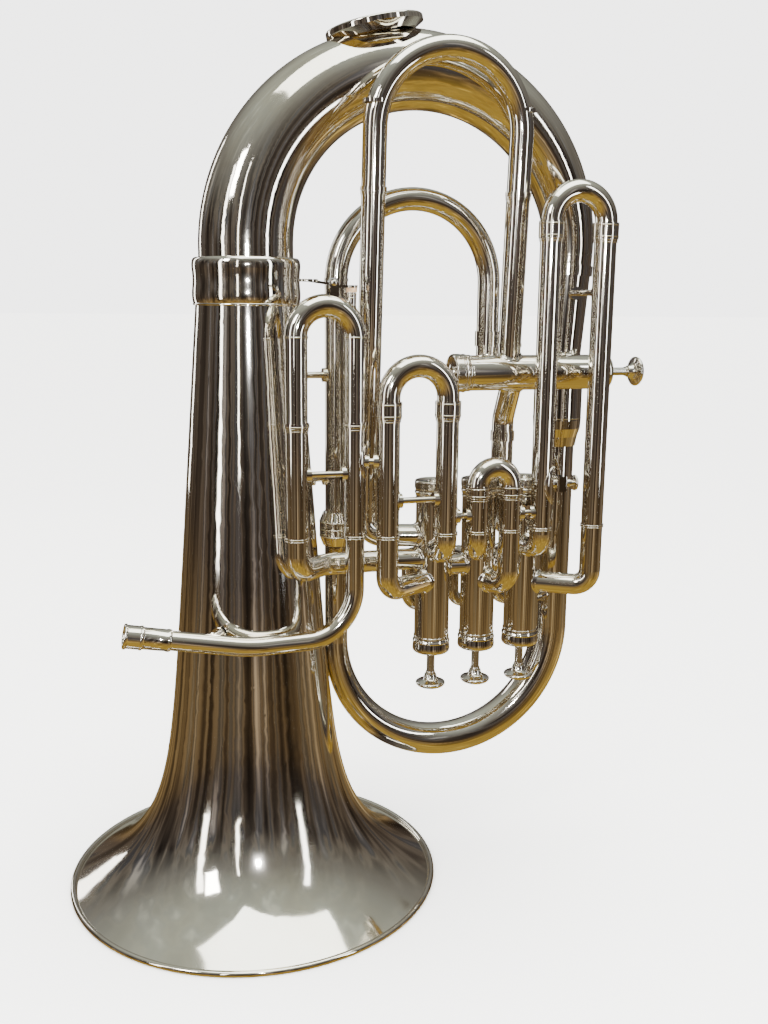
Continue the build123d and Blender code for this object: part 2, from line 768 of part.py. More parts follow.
# --- compensating loops ------------------------------------------------------------------
comp_mouth_z = comp_spring_z + comp_ferrule
comp_inner_r = small_tube_r - tube_wall - slide_fit
comp_plane = slide_plane(comp_y)
comp_legs = []
for valve in (1, 3):
    for side, port_z in ((-1, comp_left_z), (1, comp_right_z)):
        x = valve_x(valve) + side * comp_half_spacing
        points = [(x, comp_y, comp_mouth_z + shoulder_gap), (x, comp_y, port_z), valve_axis_at(valve, port_z)]
        comp_legs.append(outer_leg(points, small_tube_r, valve, [], bends=comp_bend))
bow_x = (valve_x(2) - comp_half_spacing, valve_x(2) + comp_half_spacing)
comp_bottom_z = comp_spring_z - comp_half_spacing
comp_bow_line = FilletPolyline(
    valve_axis_at(2, comp_left_z),
    (bow_x[0], comp_y, comp_left_z),
    (bow_x[0], comp_y, comp_bottom_z),
    (bow_x[1], comp_y, comp_bottom_z),
    (bow_x[1], comp_y, comp_right_z),
    valve_axis_at(2, comp_right_z),
    radius=[comp_bend, comp_half_spacing - 0.1, comp_half_spacing - 0.1, comp_bend],
)
with BuildPart() as compensating_tubes:
    bar(comp_bow_line, small_tube_r)
    for x in bow_x:
        spot = (x, comp_y, comp_mouth_z)
        ring(spot, (0, 0, 1), small_tube_r + ring_proud, ring_height, small_tube_r - tube_wall / 2)
    bar(comp_bow_line, small_tube_r - tube_wall, mode=Mode.SUBTRACT)
    cut_valve(2)
    add(comp_legs)
finish(compensating_tubes, "compensating_tubes")

for valve in (1, 3):
    x_pair = (valve_x(valve) - comp_half_spacing, valve_x(valve) + comp_half_spacing)
    with BuildPart() as comp_slide:
        crook(comp_plane, x_pair, comp_spring_z, comp_mouth_z, small_tube_r, small_tube_r + 0.8, [], comp_ferrule)
        inner_tubes(comp_plane, x_pair, comp_mouth_z + comp_insert, comp_spring_z, comp_inner_r, inner_wall)
        for x in x_pair:
            spot = (x, comp_y, comp_mouth_z - 3)
            ring(spot, (0, 0, 1), small_tube_r, 3, comp_inner_r - inner_wall)
    finish(comp_slide, "compensating_slide_" + str(valve))

# --- valves ------------------------------------------------------------------------------
side_ports = [
    (loop_point(loop_x[1], saddle_v), loop_up),
    (Vector(riser_x, side_valve_y, side_valve_z), Vector(0, riser_y - side_valve_y, riser_top_z - side_valve_z)),
    (Vector(arch_right_x, side_valve_y, side_valve_z), Vector(0, 1, 0)),
]


def port(valve, toward, z):
    """Port of an upright valve: a point on its axis and the way its tube leaves."""
    origin = Vector(*valve_axis_at(valve, z))
    return origin, Vector(toward[0], toward[1], z) - origin


comp_ports = {
    valve: [
        port(valve, (valve_x(valve) - comp_half_spacing, comp_y), comp_left_z),
        port(valve, (valve_x(valve) + comp_half_spacing, comp_y), comp_right_z),
    ]
    for valve in (1, 2, 3)
}
slide_ports = {
    1: [
        port(1, (0, valve_row_y), main_port_z),
        port(1, (slide_1_x[0], slide_y), slide_1_low_z),
        port(1, (slide_1_x[1], slide_y), slide_high_z),
        port(1, (loop_x[0], return_y), loop_return_z),
        port(1, (valve_x(2), valve_row_y), link_z),
    ],
    2: [
        port(2, (slide_2_x[0], slide_y), slide_high_z),
        port(2, (slide_2_x[1], slide_y), slide_2_low_z),
        port(2, (valve_x(1), valve_row_y), link_z),
        port(2, (valve_x(3), valve_row_y), link_z),
    ],
    3: [
        port(3, (slide_3_x[0], slide_y), slide_high_z),
        port(3, (slide_3_x[1], slide_y), slide_3_low_z),
        port(3, (riser_x, riser_y), loop_return_z),
        port(3, (valve_x(2), valve_row_y), link_z),
    ],
}
through_passages = {
    1: [((-casing_r, 0, main_port_z - valve_row_z), (casing_r, 0, link_z - valve_row_z))],
    2: [((-casing_r, 0, link_z - valve_row_z), (casing_r, 0, link_z - valve_row_z))],
    3: [((-casing_r, 0, link_z - valve_row_z), (-5, casing_r, loop_return_z - valve_row_z - 8))],
    4: [((casing_r, 0, side_valve_x - arch_right_x), (-2, casing_r, side_valve_x - riser_x - 14))],
}
piston_r = casing_r - casing_wall - piston_fit
casing_bore_r = casing_r - casing_wall


def drill_ports(ports, radius):
    """Cuts the ports through one side of a casing."""
    for origin, direction in ports:
        extrude(disc(Plane(origin=origin, z_dir=direction), radius), amount=casing_r + 1, mode=Mode.SUBTRACT)


for number in (1, 2, 3, 4):
    frame = valve_frame(number)
    span = valve_span(number)
    with BuildPart() as valve_casing:
        with BuildSketch(frame.offset(casing_inset)):
            Circle(casing_r)
            Circle(casing_bore_r, mode=Mode.SUBTRACT)
        extrude(amount=span - 2 * casing_inset)
        if number == 4:
            drill_ports(side_ports, port_r)
        else:
            drill_ports(slide_ports[number], port_r)
            drill_ports(comp_ports[number], small_tube_r - tube_wall)
    finish(valve_casing, "valve_casing_" + str(number))

    seat_h = span - spring_chamber - cap_plate
    piston_start = cap_plate + felt_thickness + 0.3
    with BuildPart() as piston:
        with BuildSketch(frame.offset(piston_start)):
            Circle(piston_r)
        extrude(amount=piston_floor)
        with BuildSketch(frame.offset(piston_start)):
            Circle(piston_r)
            Circle(piston_r - piston_wall, mode=Mode.SUBTRACT)
        extrude(amount=seat_h + piston_skirt - piston_start)
        with BuildSketch(frame.offset(seat_h - 2)):
            Circle(piston_r - piston_wall / 2)
            Circle(4, mode=Mode.SUBTRACT)
        extrude(amount=2)
        for start, end in through_passages[number]:
            ends = [frame.from_local_coords(start), frame.from_local_coords(end)]
            rod(*ends, passage_r)
            rod(*ends, passage_r - passage_wall, mode=Mode.SUBTRACT)
        with BuildSketch(frame):
            Circle(2 * casing_r)
            Circle(piston_r, mode=Mode.SUBTRACT)
        extrude(amount=span, mode=Mode.SUBTRACT)
        with BuildSketch(frame.offset(-button_drop + button_height)):
            Circle(stem_r)
        extrude(amount=button_drop - button_height + piston_start)
    finish(piston, "piston_" + str(number))

    button_plane = Plane(origin=frame.origin, x_dir=frame.z_dir, z_dir=frame.x_dir)
    with BuildPart() as finger_button:
        with BuildSketch(button_plane):
            with BuildLine():
                Line((-button_drop, 0), (-button_drop, button_r - 4))
                ThreePointArc(
                    (-button_drop, button_r - 4),
                    (-button_drop + 1.2, button_r - 1.2),
                    (-button_drop + 4, button_r),
                )
                Line((-button_drop + 4, button_r), (-button_drop + 6, button_r))
                Line((-button_drop + 6, button_r), (-button_drop + 8, 5))
                Line((-button_drop + 8, 5), (-button_drop + button_height, 5))
                Line((-button_drop + button_height, 5), (-button_drop + button_height, 0))
                Line((-button_drop + button_height, 0), (-button_drop, 0))
            make_face()
        revolve(axis=Axis(frame.origin, frame.z_dir))
    finish(finger_button, "finger_button_" + str(number))

    spring_length = span - cap_plate - seat_h - 2 * (spring_wire_r + 0.1)
    pitch = spring_length / spring_turns
    coil = Helix(pitch=pitch, height=spring_length, radius=spring_coil_r)
    coil = coil.moved(frame.offset(seat_h + spring_wire_r + 0.1).location)
    with BuildPart() as valve_spring:
        sweep(disc(Plane(origin=coil @ 0, z_dir=coil % 0), spring_wire_r), path=coil, is_frenet=True)
    finish(valve_spring, "valve_spring_" + str(number))


def valve_cap(end_plane, inward, hole_r):
    """A screw cap over one end of a casing, with a central hole."""
    with BuildPart() as cap:
        with BuildSketch(end_plane):
            Circle(cap_r)
        extrude(amount=inward * cap_skirt)
        fillet(cap.edges().filter_by(GeomType.CIRCLE), radius=0.9)
        with BuildSketch(end_plane.offset(inward * cap_plate)):
            Circle(casing_r + solder_gap)
        extrude(amount=inward * cap_skirt, mode=Mode.SUBTRACT)
        with BuildSketch(end_plane):
            Circle(hole_r)
        extrude(amount=inward * cap_skirt, mode=Mode.SUBTRACT)
    return cap.part


numbers = (1, 2, 3, 4)
top_caps = [valve_cap(valve_frame(number), 1, stem_r + stem_clearance) for number in numbers]
with BuildPart() as valve_top_caps:
    add(top_caps)
finish(valve_top_caps, "valve_top_caps")

bottom_caps = [valve_cap(valve_frame(number).offset(valve_span(number)), -1, vent_r) for number in numbers]
with BuildPart() as valve_bottom_caps:
    add(bottom_caps)
finish(valve_bottom_caps, "valve_bottom_caps")

with BuildPart() as cap_felts:
    for number in (1, 2, 3, 4):
        with BuildSketch(valve_frame(number).offset(cap_plate + 0.1)):
            Circle(felt_r)
            Circle(stem_r + 0.6, mode=Mode.SUBTRACT)
        extrude(amount=felt_thickness)
finish(cap_felts, "cap_felts")


# --- braces ------------------------------------------------------------------------------
def cut_round(centre, direction, radius, length=120):
    """Removes the space of a tube, so a flange sits on it like a saddle."""
    outline = disc(Plane(origin=centre, z_dir=direction), radius + solder_gap)
    extrude(outline, amount=length / 2, both=True, mode=Mode.SUBTRACT)


def brace(start, end, start_r, end_r, rod_radius=rod_r, start_dir=(0, 0, 1), end_dir=(0, 0, 1)):
    """Rod between two tubes' axes with a saddle flange at each, trimmed to both tubes."""
    run = (Vector(*end) - Vector(*start)).normalized()
    with BuildPart() as strut:
        rod(start, end, rod_radius)
        with BuildSketch(Plane(origin=start, z_dir=run)):
            Circle(min(flange_r, start_r - 0.5))
        extrude(amount=start_r + flange_height)
        with BuildSketch(Plane(origin=end, z_dir=-run)):
            Circle(min(flange_r, end_r - 0.5))
        extrude(amount=end_r + flange_height)
        cut_round(start, start_dir, start_r)
        cut_round(end, end_dir, end_r)
    return strut.part


strut_places = [
    ((main_x[0], main_slide_y, main_brace_z), (main_x[1], main_slide_y, main_brace_z)),
    ((slide_1_x[0], slide_y, slide_1_brace_z), (slide_1_x[1], slide_y, slide_1_brace_z)),
    ((slide_1_x[1], slide_y, low_brace_z), (slide_2_x[0], slide_y, low_brace_z)),
    ((slide_2_x[1], slide_y, low_brace_z), (slide_3_x[0], slide_y, low_brace_z)),
    ((main_x[1], main_slide_y, main_to_slide_1_z), (slide_1_x[0], slide_y, main_to_slide_1_z)),
]
leg_struts = [brace(start, end, slide_tube_r, slide_tube_r) for start, end in strut_places]
with BuildPart() as slide_braces:
    add(leg_struts)
finish(slide_braces, "slide_braces")

leg_spot = leg_axis_at(leg_brace_z)
leg_share = (bow_spring_z - leg_brace_z) / (bow_spring_z - right_leg_bottom_z)
leg_r_there = right_leg_top_r - (right_leg_top_r - right_leg_bottom_r) * leg_share + 0.4
pipe_rise = (leadpipe_end[1] - leadpipe_low_z) / (leadpipe_bend_x - leadpipe_end[0])
leadpipe_brace_z = leadpipe_low_z + (leadpipe_bend_x - leadpipe_brace_x) * pipe_rise
body_struts = [
    brace((leg_spot.X, leg_spot.Y, leg_spot.Z), (slide_3_x[1], slide_y, leg_brace_z), leg_r_there, slide_tube_r),
    brace(
        (0, 0, leadpipe_brace_z),
        (leadpipe_brace_x, leadpipe_y, leadpipe_brace_z),
        bell_radius(leadpipe_brace_z) + 1.2,
        leadpipe_r + 0.4,
        rod_radius=3.0,
        end_dir=pipe_out,
    ),
    brace(
        valve_axis_at(3, valve_brace_z),
        (lower_bow_right_x, 0, valve_brace_z),
        casing_r,
        lower_bow_thick_r,
        rod_radius=3.0,
    ),
]
for height in bell_brace_zs:
    leg_side = (lower_bow_left_x, 0, height)
    body_struts.append(brace((0, 0, height), leg_side, bell_radius(height) + 1.2, arch_r, rod_radius=2.6))
with BuildPart() as body_braces:
    add(body_struts)
finish(body_braces, "body_braces")

# --- water key on the main slide crook ---------------------------------------------------
with BuildPart() as water_key_saddle:
    rod((key_x, main_slide_y, main_spring_z + 15), (key_x, main_slide_y, nipple_top_z), 3.4)
    rod((key_x, main_slide_y, main_spring_z + 15), (key_x, main_slide_y, nipple_top_z), 1.6, mode=Mode.SUBTRACT)
    for side in (-1, 1):
        middle = (key_hinge_x, main_slide_y + side * (key_width / 2 + 1.3), (key_hinge_z + post_foot_z) / 2)
        with BuildSketch(Plane(origin=middle, x_dir=(1, 0, 0), z_dir=(0, 1, 0))):
            RectangleRounded(6, key_hinge_z + 3 - post_foot_z, 2.4)
        extrude(amount=0.9, both=True)
    rod(
        (key_hinge_x, main_slide_y - key_width / 2 - 2, key_hinge_z),
        (key_hinge_x, main_slide_y + key_width / 2 + 2, key_hinge_z),
        1.2,
    )
    bar(crook_line(main_plane, main_x, main_spring_z, main_spring_z - 20), slide_tube_r + solder_gap, Mode.SUBTRACT)
finish(water_key_saddle, "water_key_saddle")

cork_height = 3.2
arm_z = nipple_top_z + 0.1 + cork_height + 0.1
with BuildPart() as water_key_lever:
    with BuildSketch(Plane.XZ.offset(-main_slide_y)):
        with Locations(((key_hinge_x + key_x) / 2, arm_z + 0.9)):
            Rectangle(key_x - key_hinge_x + 4, 1.8)
        with Locations(((key_hinge_x - key_reach + key_hinge_x) / 2, arm_z + 3.4)):
            Rectangle(20, 1.8, rotation=-8)
        with Locations((key_hinge_x, key_hinge_z)):
            Circle(2.7)
            Circle(1.25, mode=Mode.SUBTRACT)
    extrude(amount=key_width / 2 - 0.3, both=True)
    with BuildSketch(Plane.XY.offset(arm_z)):
        with Locations((key_x, main_slide_y)):
            Circle(4.4)
    extrude(amount=1.8)
    with BuildSketch(Plane.XY.offset(arm_z + 3.8)):
        with Locations((key_hinge_x - key_reach, main_slide_y)):
            Ellipse(7, 5)
    extrude(amount=1.8)
finish(water_key_lever, "water_key_lever")

with BuildPart() as water_key_cork:
    with BuildSketch(Plane.XY.offset(nipple_top_z + 0.1)):
        with Locations((key_x, main_slide_y)):
            Circle(4.0)
    extrude(amount=cork_height)
finish(water_key_cork, "water_key_cork")

# --- lyre holder on the left leg of slide 3 ----------------------------------------------
socket_x = slide_3_x[0] + slide_tube_r + 7
with BuildPart() as lyre_socket:
    with BuildSketch(Plane(origin=(slide_3_x[0], slide_y, lyre_z), z_dir=(1, 0, 0))):
        Ellipse(7.5, 15, rotation=90)
    extrude(amount=slide_tube_r + plate_thickness)
    with BuildSketch(Plane(origin=(slide_3_x[0], slide_y, lyre_z), z_dir=(0, 0, 1)), mode=Mode.PRIVATE) as shell:
        Circle(slide_tube_r + plate_thickness)
    extrude(shell.sketch, amount=20, both=True, mode=Mode.INTERSECT)
    with BuildSketch(Plane(origin=(slide_3_x[0], slide_y, lyre_z), z_dir=(1, 0, 0))):
        Circle(4)
    extrude(amount=slide_tube_r + 3)
    with BuildSketch(Plane.XY.offset(lyre_z - 6)):
        with Locations((socket_x, slide_y)):
            RectangleRounded(9, 10, 1.5)
    extrude(amount=12)
    with BuildSketch(Plane.XY.offset(lyre_z - 6)):
        with Locations((socket_x, slide_y)):
            Rectangle(4, 5)
    extrude(amount=12, mode=Mode.SUBTRACT)
    rod((socket_x, slide_y, lyre_z), (socket_x + 6, slide_y, lyre_z), 1.6 + 0.05, mode=Mode.SUBTRACT)
    cut_round((slide_3_x[0], slide_y, lyre_z), (0, 0, 1), slide_tube_r)
finish(lyre_socket, "lyre_socket")

with BuildPart() as lyre_screw:
    rod((socket_x + 2.3, slide_y, lyre_z), (socket_x + 12, slide_y, lyre_z), 1.6)
    rod((socket_x + 5.2, slide_y, lyre_z), (socket_x + 9, slide_y, lyre_z), 3.0)
    rod((socket_x + 11, slide_y, lyre_z), (socket_x + 13.5, slide_y, lyre_z), 6.2)
finish(lyre_screw, "lyre_screw")

# --- guard plate on the right leg --------------------------------------------------------
plate_mid_z = (plate_low_z + plate_high_z) / 2
plate_half = (plate_high_z - plate_low_z) / 2
plate_dir = Vector(-1, -1, 0).normalized()
with BuildPart() as leg_guard_plate:
    with BuildSketch(
        Plane(origin=(lower_bow_right_x, 0, plate_mid_z), x_dir=(0, 0, 1), z_dir=plate_dir)
    ):
        with BuildLine():
            ThreePointArc((-plate_half, 0), (0, plate_half_width), (plate_half, 0))
            ThreePointArc((plate_half, 0), (0, -plate_half_width), (-plate_half, 0))
        make_face()
    extrude(amount=lower_bow_thick_r + 3)
    with BuildSketch(Plane.XY.offset(plate_low_z), mode=Mode.PRIVATE) as sleeve:
        with Locations((lower_bow_right_x, 0)):
            Circle(lower_bow_thick_r + solder_gap + plate_thickness)
            Circle(lower_bow_thick_r + solder_gap, mode=Mode.SUBTRACT)
    extrude(sleeve.sketch, amount=plate_high_z - plate_low_z, mode=Mode.INTERSECT)
finish(leg_guard_plate, "leg_guard_plate")
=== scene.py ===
import json
import math

import bmesh
import bpy
from mathutils import Matrix, Vector


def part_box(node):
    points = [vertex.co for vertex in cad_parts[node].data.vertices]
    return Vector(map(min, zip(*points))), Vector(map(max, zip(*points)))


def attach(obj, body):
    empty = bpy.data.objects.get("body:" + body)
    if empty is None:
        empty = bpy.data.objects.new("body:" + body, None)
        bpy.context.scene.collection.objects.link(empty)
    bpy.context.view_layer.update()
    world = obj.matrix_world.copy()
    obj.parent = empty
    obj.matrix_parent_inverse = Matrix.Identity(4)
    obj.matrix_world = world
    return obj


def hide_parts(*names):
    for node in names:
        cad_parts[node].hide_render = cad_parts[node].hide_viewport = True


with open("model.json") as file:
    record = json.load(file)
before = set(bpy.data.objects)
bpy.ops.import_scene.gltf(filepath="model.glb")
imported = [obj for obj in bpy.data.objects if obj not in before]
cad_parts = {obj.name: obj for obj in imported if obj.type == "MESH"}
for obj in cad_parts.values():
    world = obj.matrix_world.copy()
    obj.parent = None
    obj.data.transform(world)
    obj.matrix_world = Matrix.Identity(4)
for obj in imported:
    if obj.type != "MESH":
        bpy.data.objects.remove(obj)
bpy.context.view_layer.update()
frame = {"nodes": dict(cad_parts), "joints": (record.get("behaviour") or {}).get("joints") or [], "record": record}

# Silver-plated compensating euphonium standing on its bell. Metres, +Z up, bell mouth at the origin.
nodes = frame["nodes"]
MM = 0.001
UP = (0, 0, 1)


# --- procedural materials ----------------------------------------------------------------
def metal(name, colour, rough, rough_spread, tint=None, scale=14.0, bump=0.0, stretch=(1, 1, 1)):
    """Polished metal: cloudy wear in the roughness, faint tint patches, hairline handling marks."""
    mat = bpy.data.materials.new(name)
    mat.use_nodes = True
    tree = mat.node_tree
    links = tree.links
    shader = tree.nodes["Principled BSDF"]
    shader.inputs["Metallic"].default_value = 1.0
    coords = tree.nodes.new("ShaderNodeTexCoord")
    mapping = tree.nodes.new("ShaderNodeMapping")
    mapping.inputs["Scale"].default_value = stretch
    links.new(coords.outputs["Object"], mapping.inputs["Vector"])

    cloud = tree.nodes.new("ShaderNodeTexNoise")
    cloud.inputs["Scale"].default_value = scale
    cloud.inputs["Detail"].default_value = 6.0
    cloud.inputs["Roughness"].default_value = 0.62
    links.new(mapping.outputs["Vector"], cloud.inputs["Vector"])

    hair = tree.nodes.new("ShaderNodeTexNoise")
    hair.inputs["Scale"].default_value = scale * 22
    hair.inputs["Detail"].default_value = 3.0
    links.new(mapping.outputs["Vector"], hair.inputs["Vector"])

    wear = tree.nodes.new("ShaderNodeMapRange")
    wear.inputs["From Min"].default_value = 0.35
    wear.inputs["From Max"].default_value = 0.72
    wear.inputs["To Min"].default_value = rough
    wear.inputs["To Max"].default_value = rough + rough_spread
    links.new(cloud.outputs["Fac"], wear.inputs["Value"])
    marks = tree.nodes.new("ShaderNodeMath")
    marks.operation = "MULTIPLY_ADD"
    marks.inputs[1].default_value = rough_spread * 0.5
    links.new(hair.outputs["Fac"], marks.inputs[0])
    links.new(wear.outputs["Result"], marks.inputs[2])
    links.new(marks.outputs["Value"], shader.inputs["Roughness"])

    ramp = tree.nodes.new("ShaderNodeValToRGB")
    ramp.color_ramp.elements[0].position = 0.40
    ramp.color_ramp.elements[0].color = (*colour, 1)
    ramp.color_ramp.elements[1].position = 0.75
    ramp.color_ramp.elements[1].color = (*(tint or colour), 1)
    links.new(cloud.outputs["Fac"], ramp.inputs["Fac"])
    links.new(ramp.outputs["Color"], shader.inputs["Base Color"])

    if bump:
        dents = tree.nodes.new("ShaderNodeBump")
        dents.inputs["Strength"].default_value = bump
        dents.inputs["Distance"].default_value = 0.0004
        links.new(cloud.outputs["Fac"], dents.inputs["Height"])
        links.new(dents.outputs["Normal"], shader.inputs["Normal"])
    return mat


def fuzzy(name, dark, light, rough, scale, bump_distance):
    """Felt or cork: mottled colour over a rough grain."""
    mat = bpy.data.materials.new(name)
    mat.use_nodes = True
    tree = mat.node_tree
    links = tree.links
    shader = tree.nodes["Principled BSDF"]
    shader.inputs["Roughness"].default_value = rough
    coords = tree.nodes.new("ShaderNodeTexCoord")
    grain = tree.nodes.new("ShaderNodeTexNoise")
    grain.inputs["Scale"].default_value = scale
    grain.inputs["Detail"].default_value = 5.0
    links.new(coords.outputs["Object"], grain.inputs["Vector"])
    ramp = tree.nodes.new("ShaderNodeValToRGB")
    ramp.color_ramp.elements[0].position = 0.35
    ramp.color_ramp.elements[0].color = (*dark, 1)
    ramp.color_ramp.elements[1].position = 0.65
    ramp.color_ramp.elements[1].color = (*light, 1)
    links.new(grain.outputs["Fac"], ramp.inputs["Fac"])
    links.new(ramp.outputs["Color"], shader.inputs["Base Color"])
    relief = tree.nodes.new("ShaderNodeBump")
    relief.inputs["Strength"].default_value = 0.6
    relief.inputs["Distance"].default_value = bump_distance
    links.new(grain.outputs["Fac"], relief.inputs["Height"])
    links.new(relief.outputs["Normal"], shader.inputs["Normal"])
    return mat


SILVER = (0.83, 0.80, 0.74)
SILVER_TINT = (0.78, 0.72, 0.61)
silver = metal("silver_plate", SILVER, 0.040, 0.040, SILVER_TINT, bump=0.02)
bell_silver = metal("silver_plate_bell", SILVER, 0.045, 0.045, SILVER_TINT, 9.0, 0.025, (1, 1, 0.35))
inner_silver = metal(
    "slide_tube", (0.78, 0.77, 0.74), 0.12, 0.10, (0.70, 0.66, 0.58), 30.0, stretch=(1, 1, 8)
)
knurl_silver = metal("knurled_silver", (0.79, 0.76, 0.70), 0.10, 0.08, (0.62, 0.56, 0.46), 60.0)
button_silver = metal("button_silver", (0.84, 0.82, 0.77), 0.06, 0.10, (0.76, 0.70, 0.60), 90.0)
monel = metal("piston_metal", (0.60, 0.59, 0.57), 0.16, 0.08, (0.54, 0.52, 0.49), 60.0, stretch=(1, 1, 6))
spring_steel = metal("spring_steel", (0.46, 0.46, 0.47), 0.24, 0.10, (0.38, 0.36, 0.34), 120.0)
felt = fuzzy("felt", (0.16, 0.015, 0.02), (0.34, 0.04, 0.05), 0.95, 900.0, 0.0006)
cork = fuzzy("cork", (0.34, 0.20, 0.10), (0.62, 0.43, 0.25), 0.85, 420.0, 0.0003)

cad_finish = {"bell": bell_silver, "cap_felts": felt, "water_key_cork": cork}
for name, obj in nodes.items():
    finish = cad_finish.get(name, silver)
    if name.startswith("valve_spring"):
        finish = spring_steel
    elif name.startswith("piston"):
        finish = monel
    elif name.startswith("finger_button"):
        finish = button_silver
    elif name.endswith("inner_tubes"):
        finish = inner_silver
    for material_slot in obj.material_slots:
        material_slot.material = finish


# --- mesh builders -----------------------------------------------------------------------
def place(name, bm, material, body, sharp_deg=38.0):
    """Turns a bmesh into a piece that rides a CAD body."""
    bmesh.ops.remove_doubles(bm, verts=bm.verts, dist=1e-7)
    bmesh.ops.recalc_face_normals(bm, faces=bm.faces)
    mesh = bpy.data.meshes.new(name)
    bm.to_mesh(mesh)
    bm.free()
    obj = bpy.data.objects.new(name, mesh)
    bpy.context.scene.collection.objects.link(obj)
    mesh.materials.append(material)
    for polygon in mesh.polygons:
        polygon.use_smooth = True
    mesh.set_sharp_from_angle(angle=math.radians(sharp_deg))
    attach(obj, body)
    return obj


def axis_matrix(origin, axis):
    """Frame with its local Z along an axis."""
    return Matrix.Translation(Vector(origin)) @ Vector(axis).to_track_quat("Z", "Y").to_matrix().to_4x4()


def add_lathe(bm, profile, origin, axis, segments=96, ripple=None, closed=True):
    """Revolves (radius, height) points. ripple(angle, index) adds to the radius."""
    frame_matrix = axis_matrix(origin, axis)
    rings = []
    for index, (radius, height) in enumerate(profile):
        if radius < 1e-7:
            rings.append([bm.verts.new(frame_matrix @ Vector((0, 0, height)))])
            continue
        loop = []
        for step in range(segments):
            angle = 2 * math.pi * step / segments
            r = radius + (ripple(angle, index) if ripple else 0.0)
            spot = Vector((r * math.cos(angle), r * math.sin(angle), height))
            loop.append(bm.verts.new(frame_matrix @ spot))
        rings.append(loop)
    pairs = list(zip(rings, rings[1:]))
    if closed:
        pairs.append((rings[-1], rings[0]))
    for a, b in pairs:
        if len(a) == 1 and len(b) == 1:
            continue
        for step in range(segments):
            nxt = (step + 1) % segments
            corners = [a[step % len(a)], a[nxt % len(a)], b[nxt % len(b)], b[step % len(b)]]
            unique = list(dict.fromkeys(corners))
            if len(unique) > 2:
                bm.faces.new(unique)


def add_tube(bm, points, radius_at, segments=40, closed_ends=True):
    """Round section swept along points by parallel transport. radius_at(share) gives its radius."""
    points = [Vector(p) for p in points]
    tangents = []
    for i in range(len(points)):
        ahead = points[min(i + 1, len(points) - 1)]
        behind = points[max(i - 1, 0)]
        tangents.append((ahead - behind).normalized())
    normal = tangents[0].orthogonal().normalized()
    rings = []
    for i, point in enumerate(points):
        if i:
            normal = (normal - tangents[i] * normal.dot(tangents[i])).normalized()
        binormal = tangents[i].cross(normal)
        r = radius_at(i / (len(points) - 1))
        rings.append(
            [
                bm.verts.new(point + normal * (r * math.cos(a)) + binormal * (r * math.sin(a)))
                for a in (2 * math.pi * s / segments for s in range(segments))
            ]
        )
    for a, b in zip(rings, rings[1:]):
        for s in range(segments):
            bm.faces.new((a[s], a[(s + 1) % segments], b[(s + 1) % segments], b[s]))
    if closed_ends:
        bm.faces.new(rings[0])
        bm.faces.new(rings[-1])


def band(radius, inner, height, edge):
    """Profile of a rounded band around a tube, centred on height zero."""
    half = height / 2
    points = [(inner, -half)]
    for step in range(5):
        angle = -math.pi / 2 + math.pi / 2 * step / 4
        points.append((radius - edge + edge * math.cos(angle), -half + edge + edge * math.sin(angle)))
    for step in range(5):
        angle = math.pi / 2 * step / 4
        points.append((radius - edge + edge * math.cos(angle), half - edge + edge * math.sin(angle)))
    points.append((inner, half))
    return points


def bead(radius, inner, size):
    """Profile of a half-round bead that stands on a tube."""
    points = []
    for step in range(9):
        angle = -math.pi / 2 + math.pi * step / 8
        points.append((radius + size * math.cos(angle), size * math.sin(angle)))
    return [(inner, -size), *points, (inner, size)]


def ring_piece(name, places, profile, body="horn", segments=72):
    """The same silver ring set at several (origin, axis) places, as one piece."""
    bm = bmesh.new()
    for origin, axis in places:
        add_lathe(bm, profile, origin, axis, segments)
    return place(name, bm, silver, body)


def middle(node):
    low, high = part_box(node)
    return (low + high) / 2


# --- valve caps, buttons and collars -----------------------------------------------------
CAP_OVERHANG = 3.5 * MM
CASING_SKIN = 0.05 * MM
# each valve's place: its cap end by the button, its axis away from the button, its length over both caps
valve_places = []
for number in (1, 2, 3):
    low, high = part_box(f"valve_casing_{number}")
    casing_middle = middle(f"valve_casing_{number}")
    start = (casing_middle.x, casing_middle.y, low.z - CAP_OVERHANG)
    valve_places.append((start, UP, high.z - low.z + 2 * CAP_OVERHANG))
CASING_R = (high.x - low.x) / 2 + CASING_SKIN
CASING_LOW_Z = low.z
low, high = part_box("valve_casing_4")
SIDE_Y, SIDE_Z = middle("valve_casing_4").y, middle("valve_casing_4").z
valve_places.append(((high.x + CAP_OVERHANG, SIDE_Y, SIDE_Z), (-1, 0, 0), high.x - low.x + 2 * CAP_OVERHANG))
UPRIGHT_XS = [start[0] for start, axis, span in valve_places[:3]]
ROW_Y = valve_places[0][0][1]


def along(origin, axis, distance):
    return tuple(o + a * distance for o, a in zip(origin, axis))


def mm(points):
    """Profile points given in millimetres."""
    return [(r * MM, h * MM) for r, h in points]


top_cap_profile = mm(
    [
        (3.6, 0.5), (3.9, 0.15), (4.6, 0.0), (6.6, 0.0), (7.0, 0.35), (11.6, 0.35), (12.6, 0.5),
        (13.7, 0.95), (14.6, 1.8), (15.05, 2.9), (15.15, 4.2), (15.0, 6.0), (14.75, 8.0), (14.6, 9.2),
        (14.95, 9.6), (15.05, 10.2), (14.95, 10.8), (14.55, 11.2), (14.3, 12.4), (13.92, 12.5),
        (13.92, 2.2), (3.6, 2.2),
    ]
)
top_caps = bmesh.new()
for origin, axis, span in valve_places:
    add_lathe(top_caps, top_cap_profile, origin, axis, 128)
top_cap_piece = place("turned_top_caps", top_caps, silver, "horn")
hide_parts("valve_top_caps")

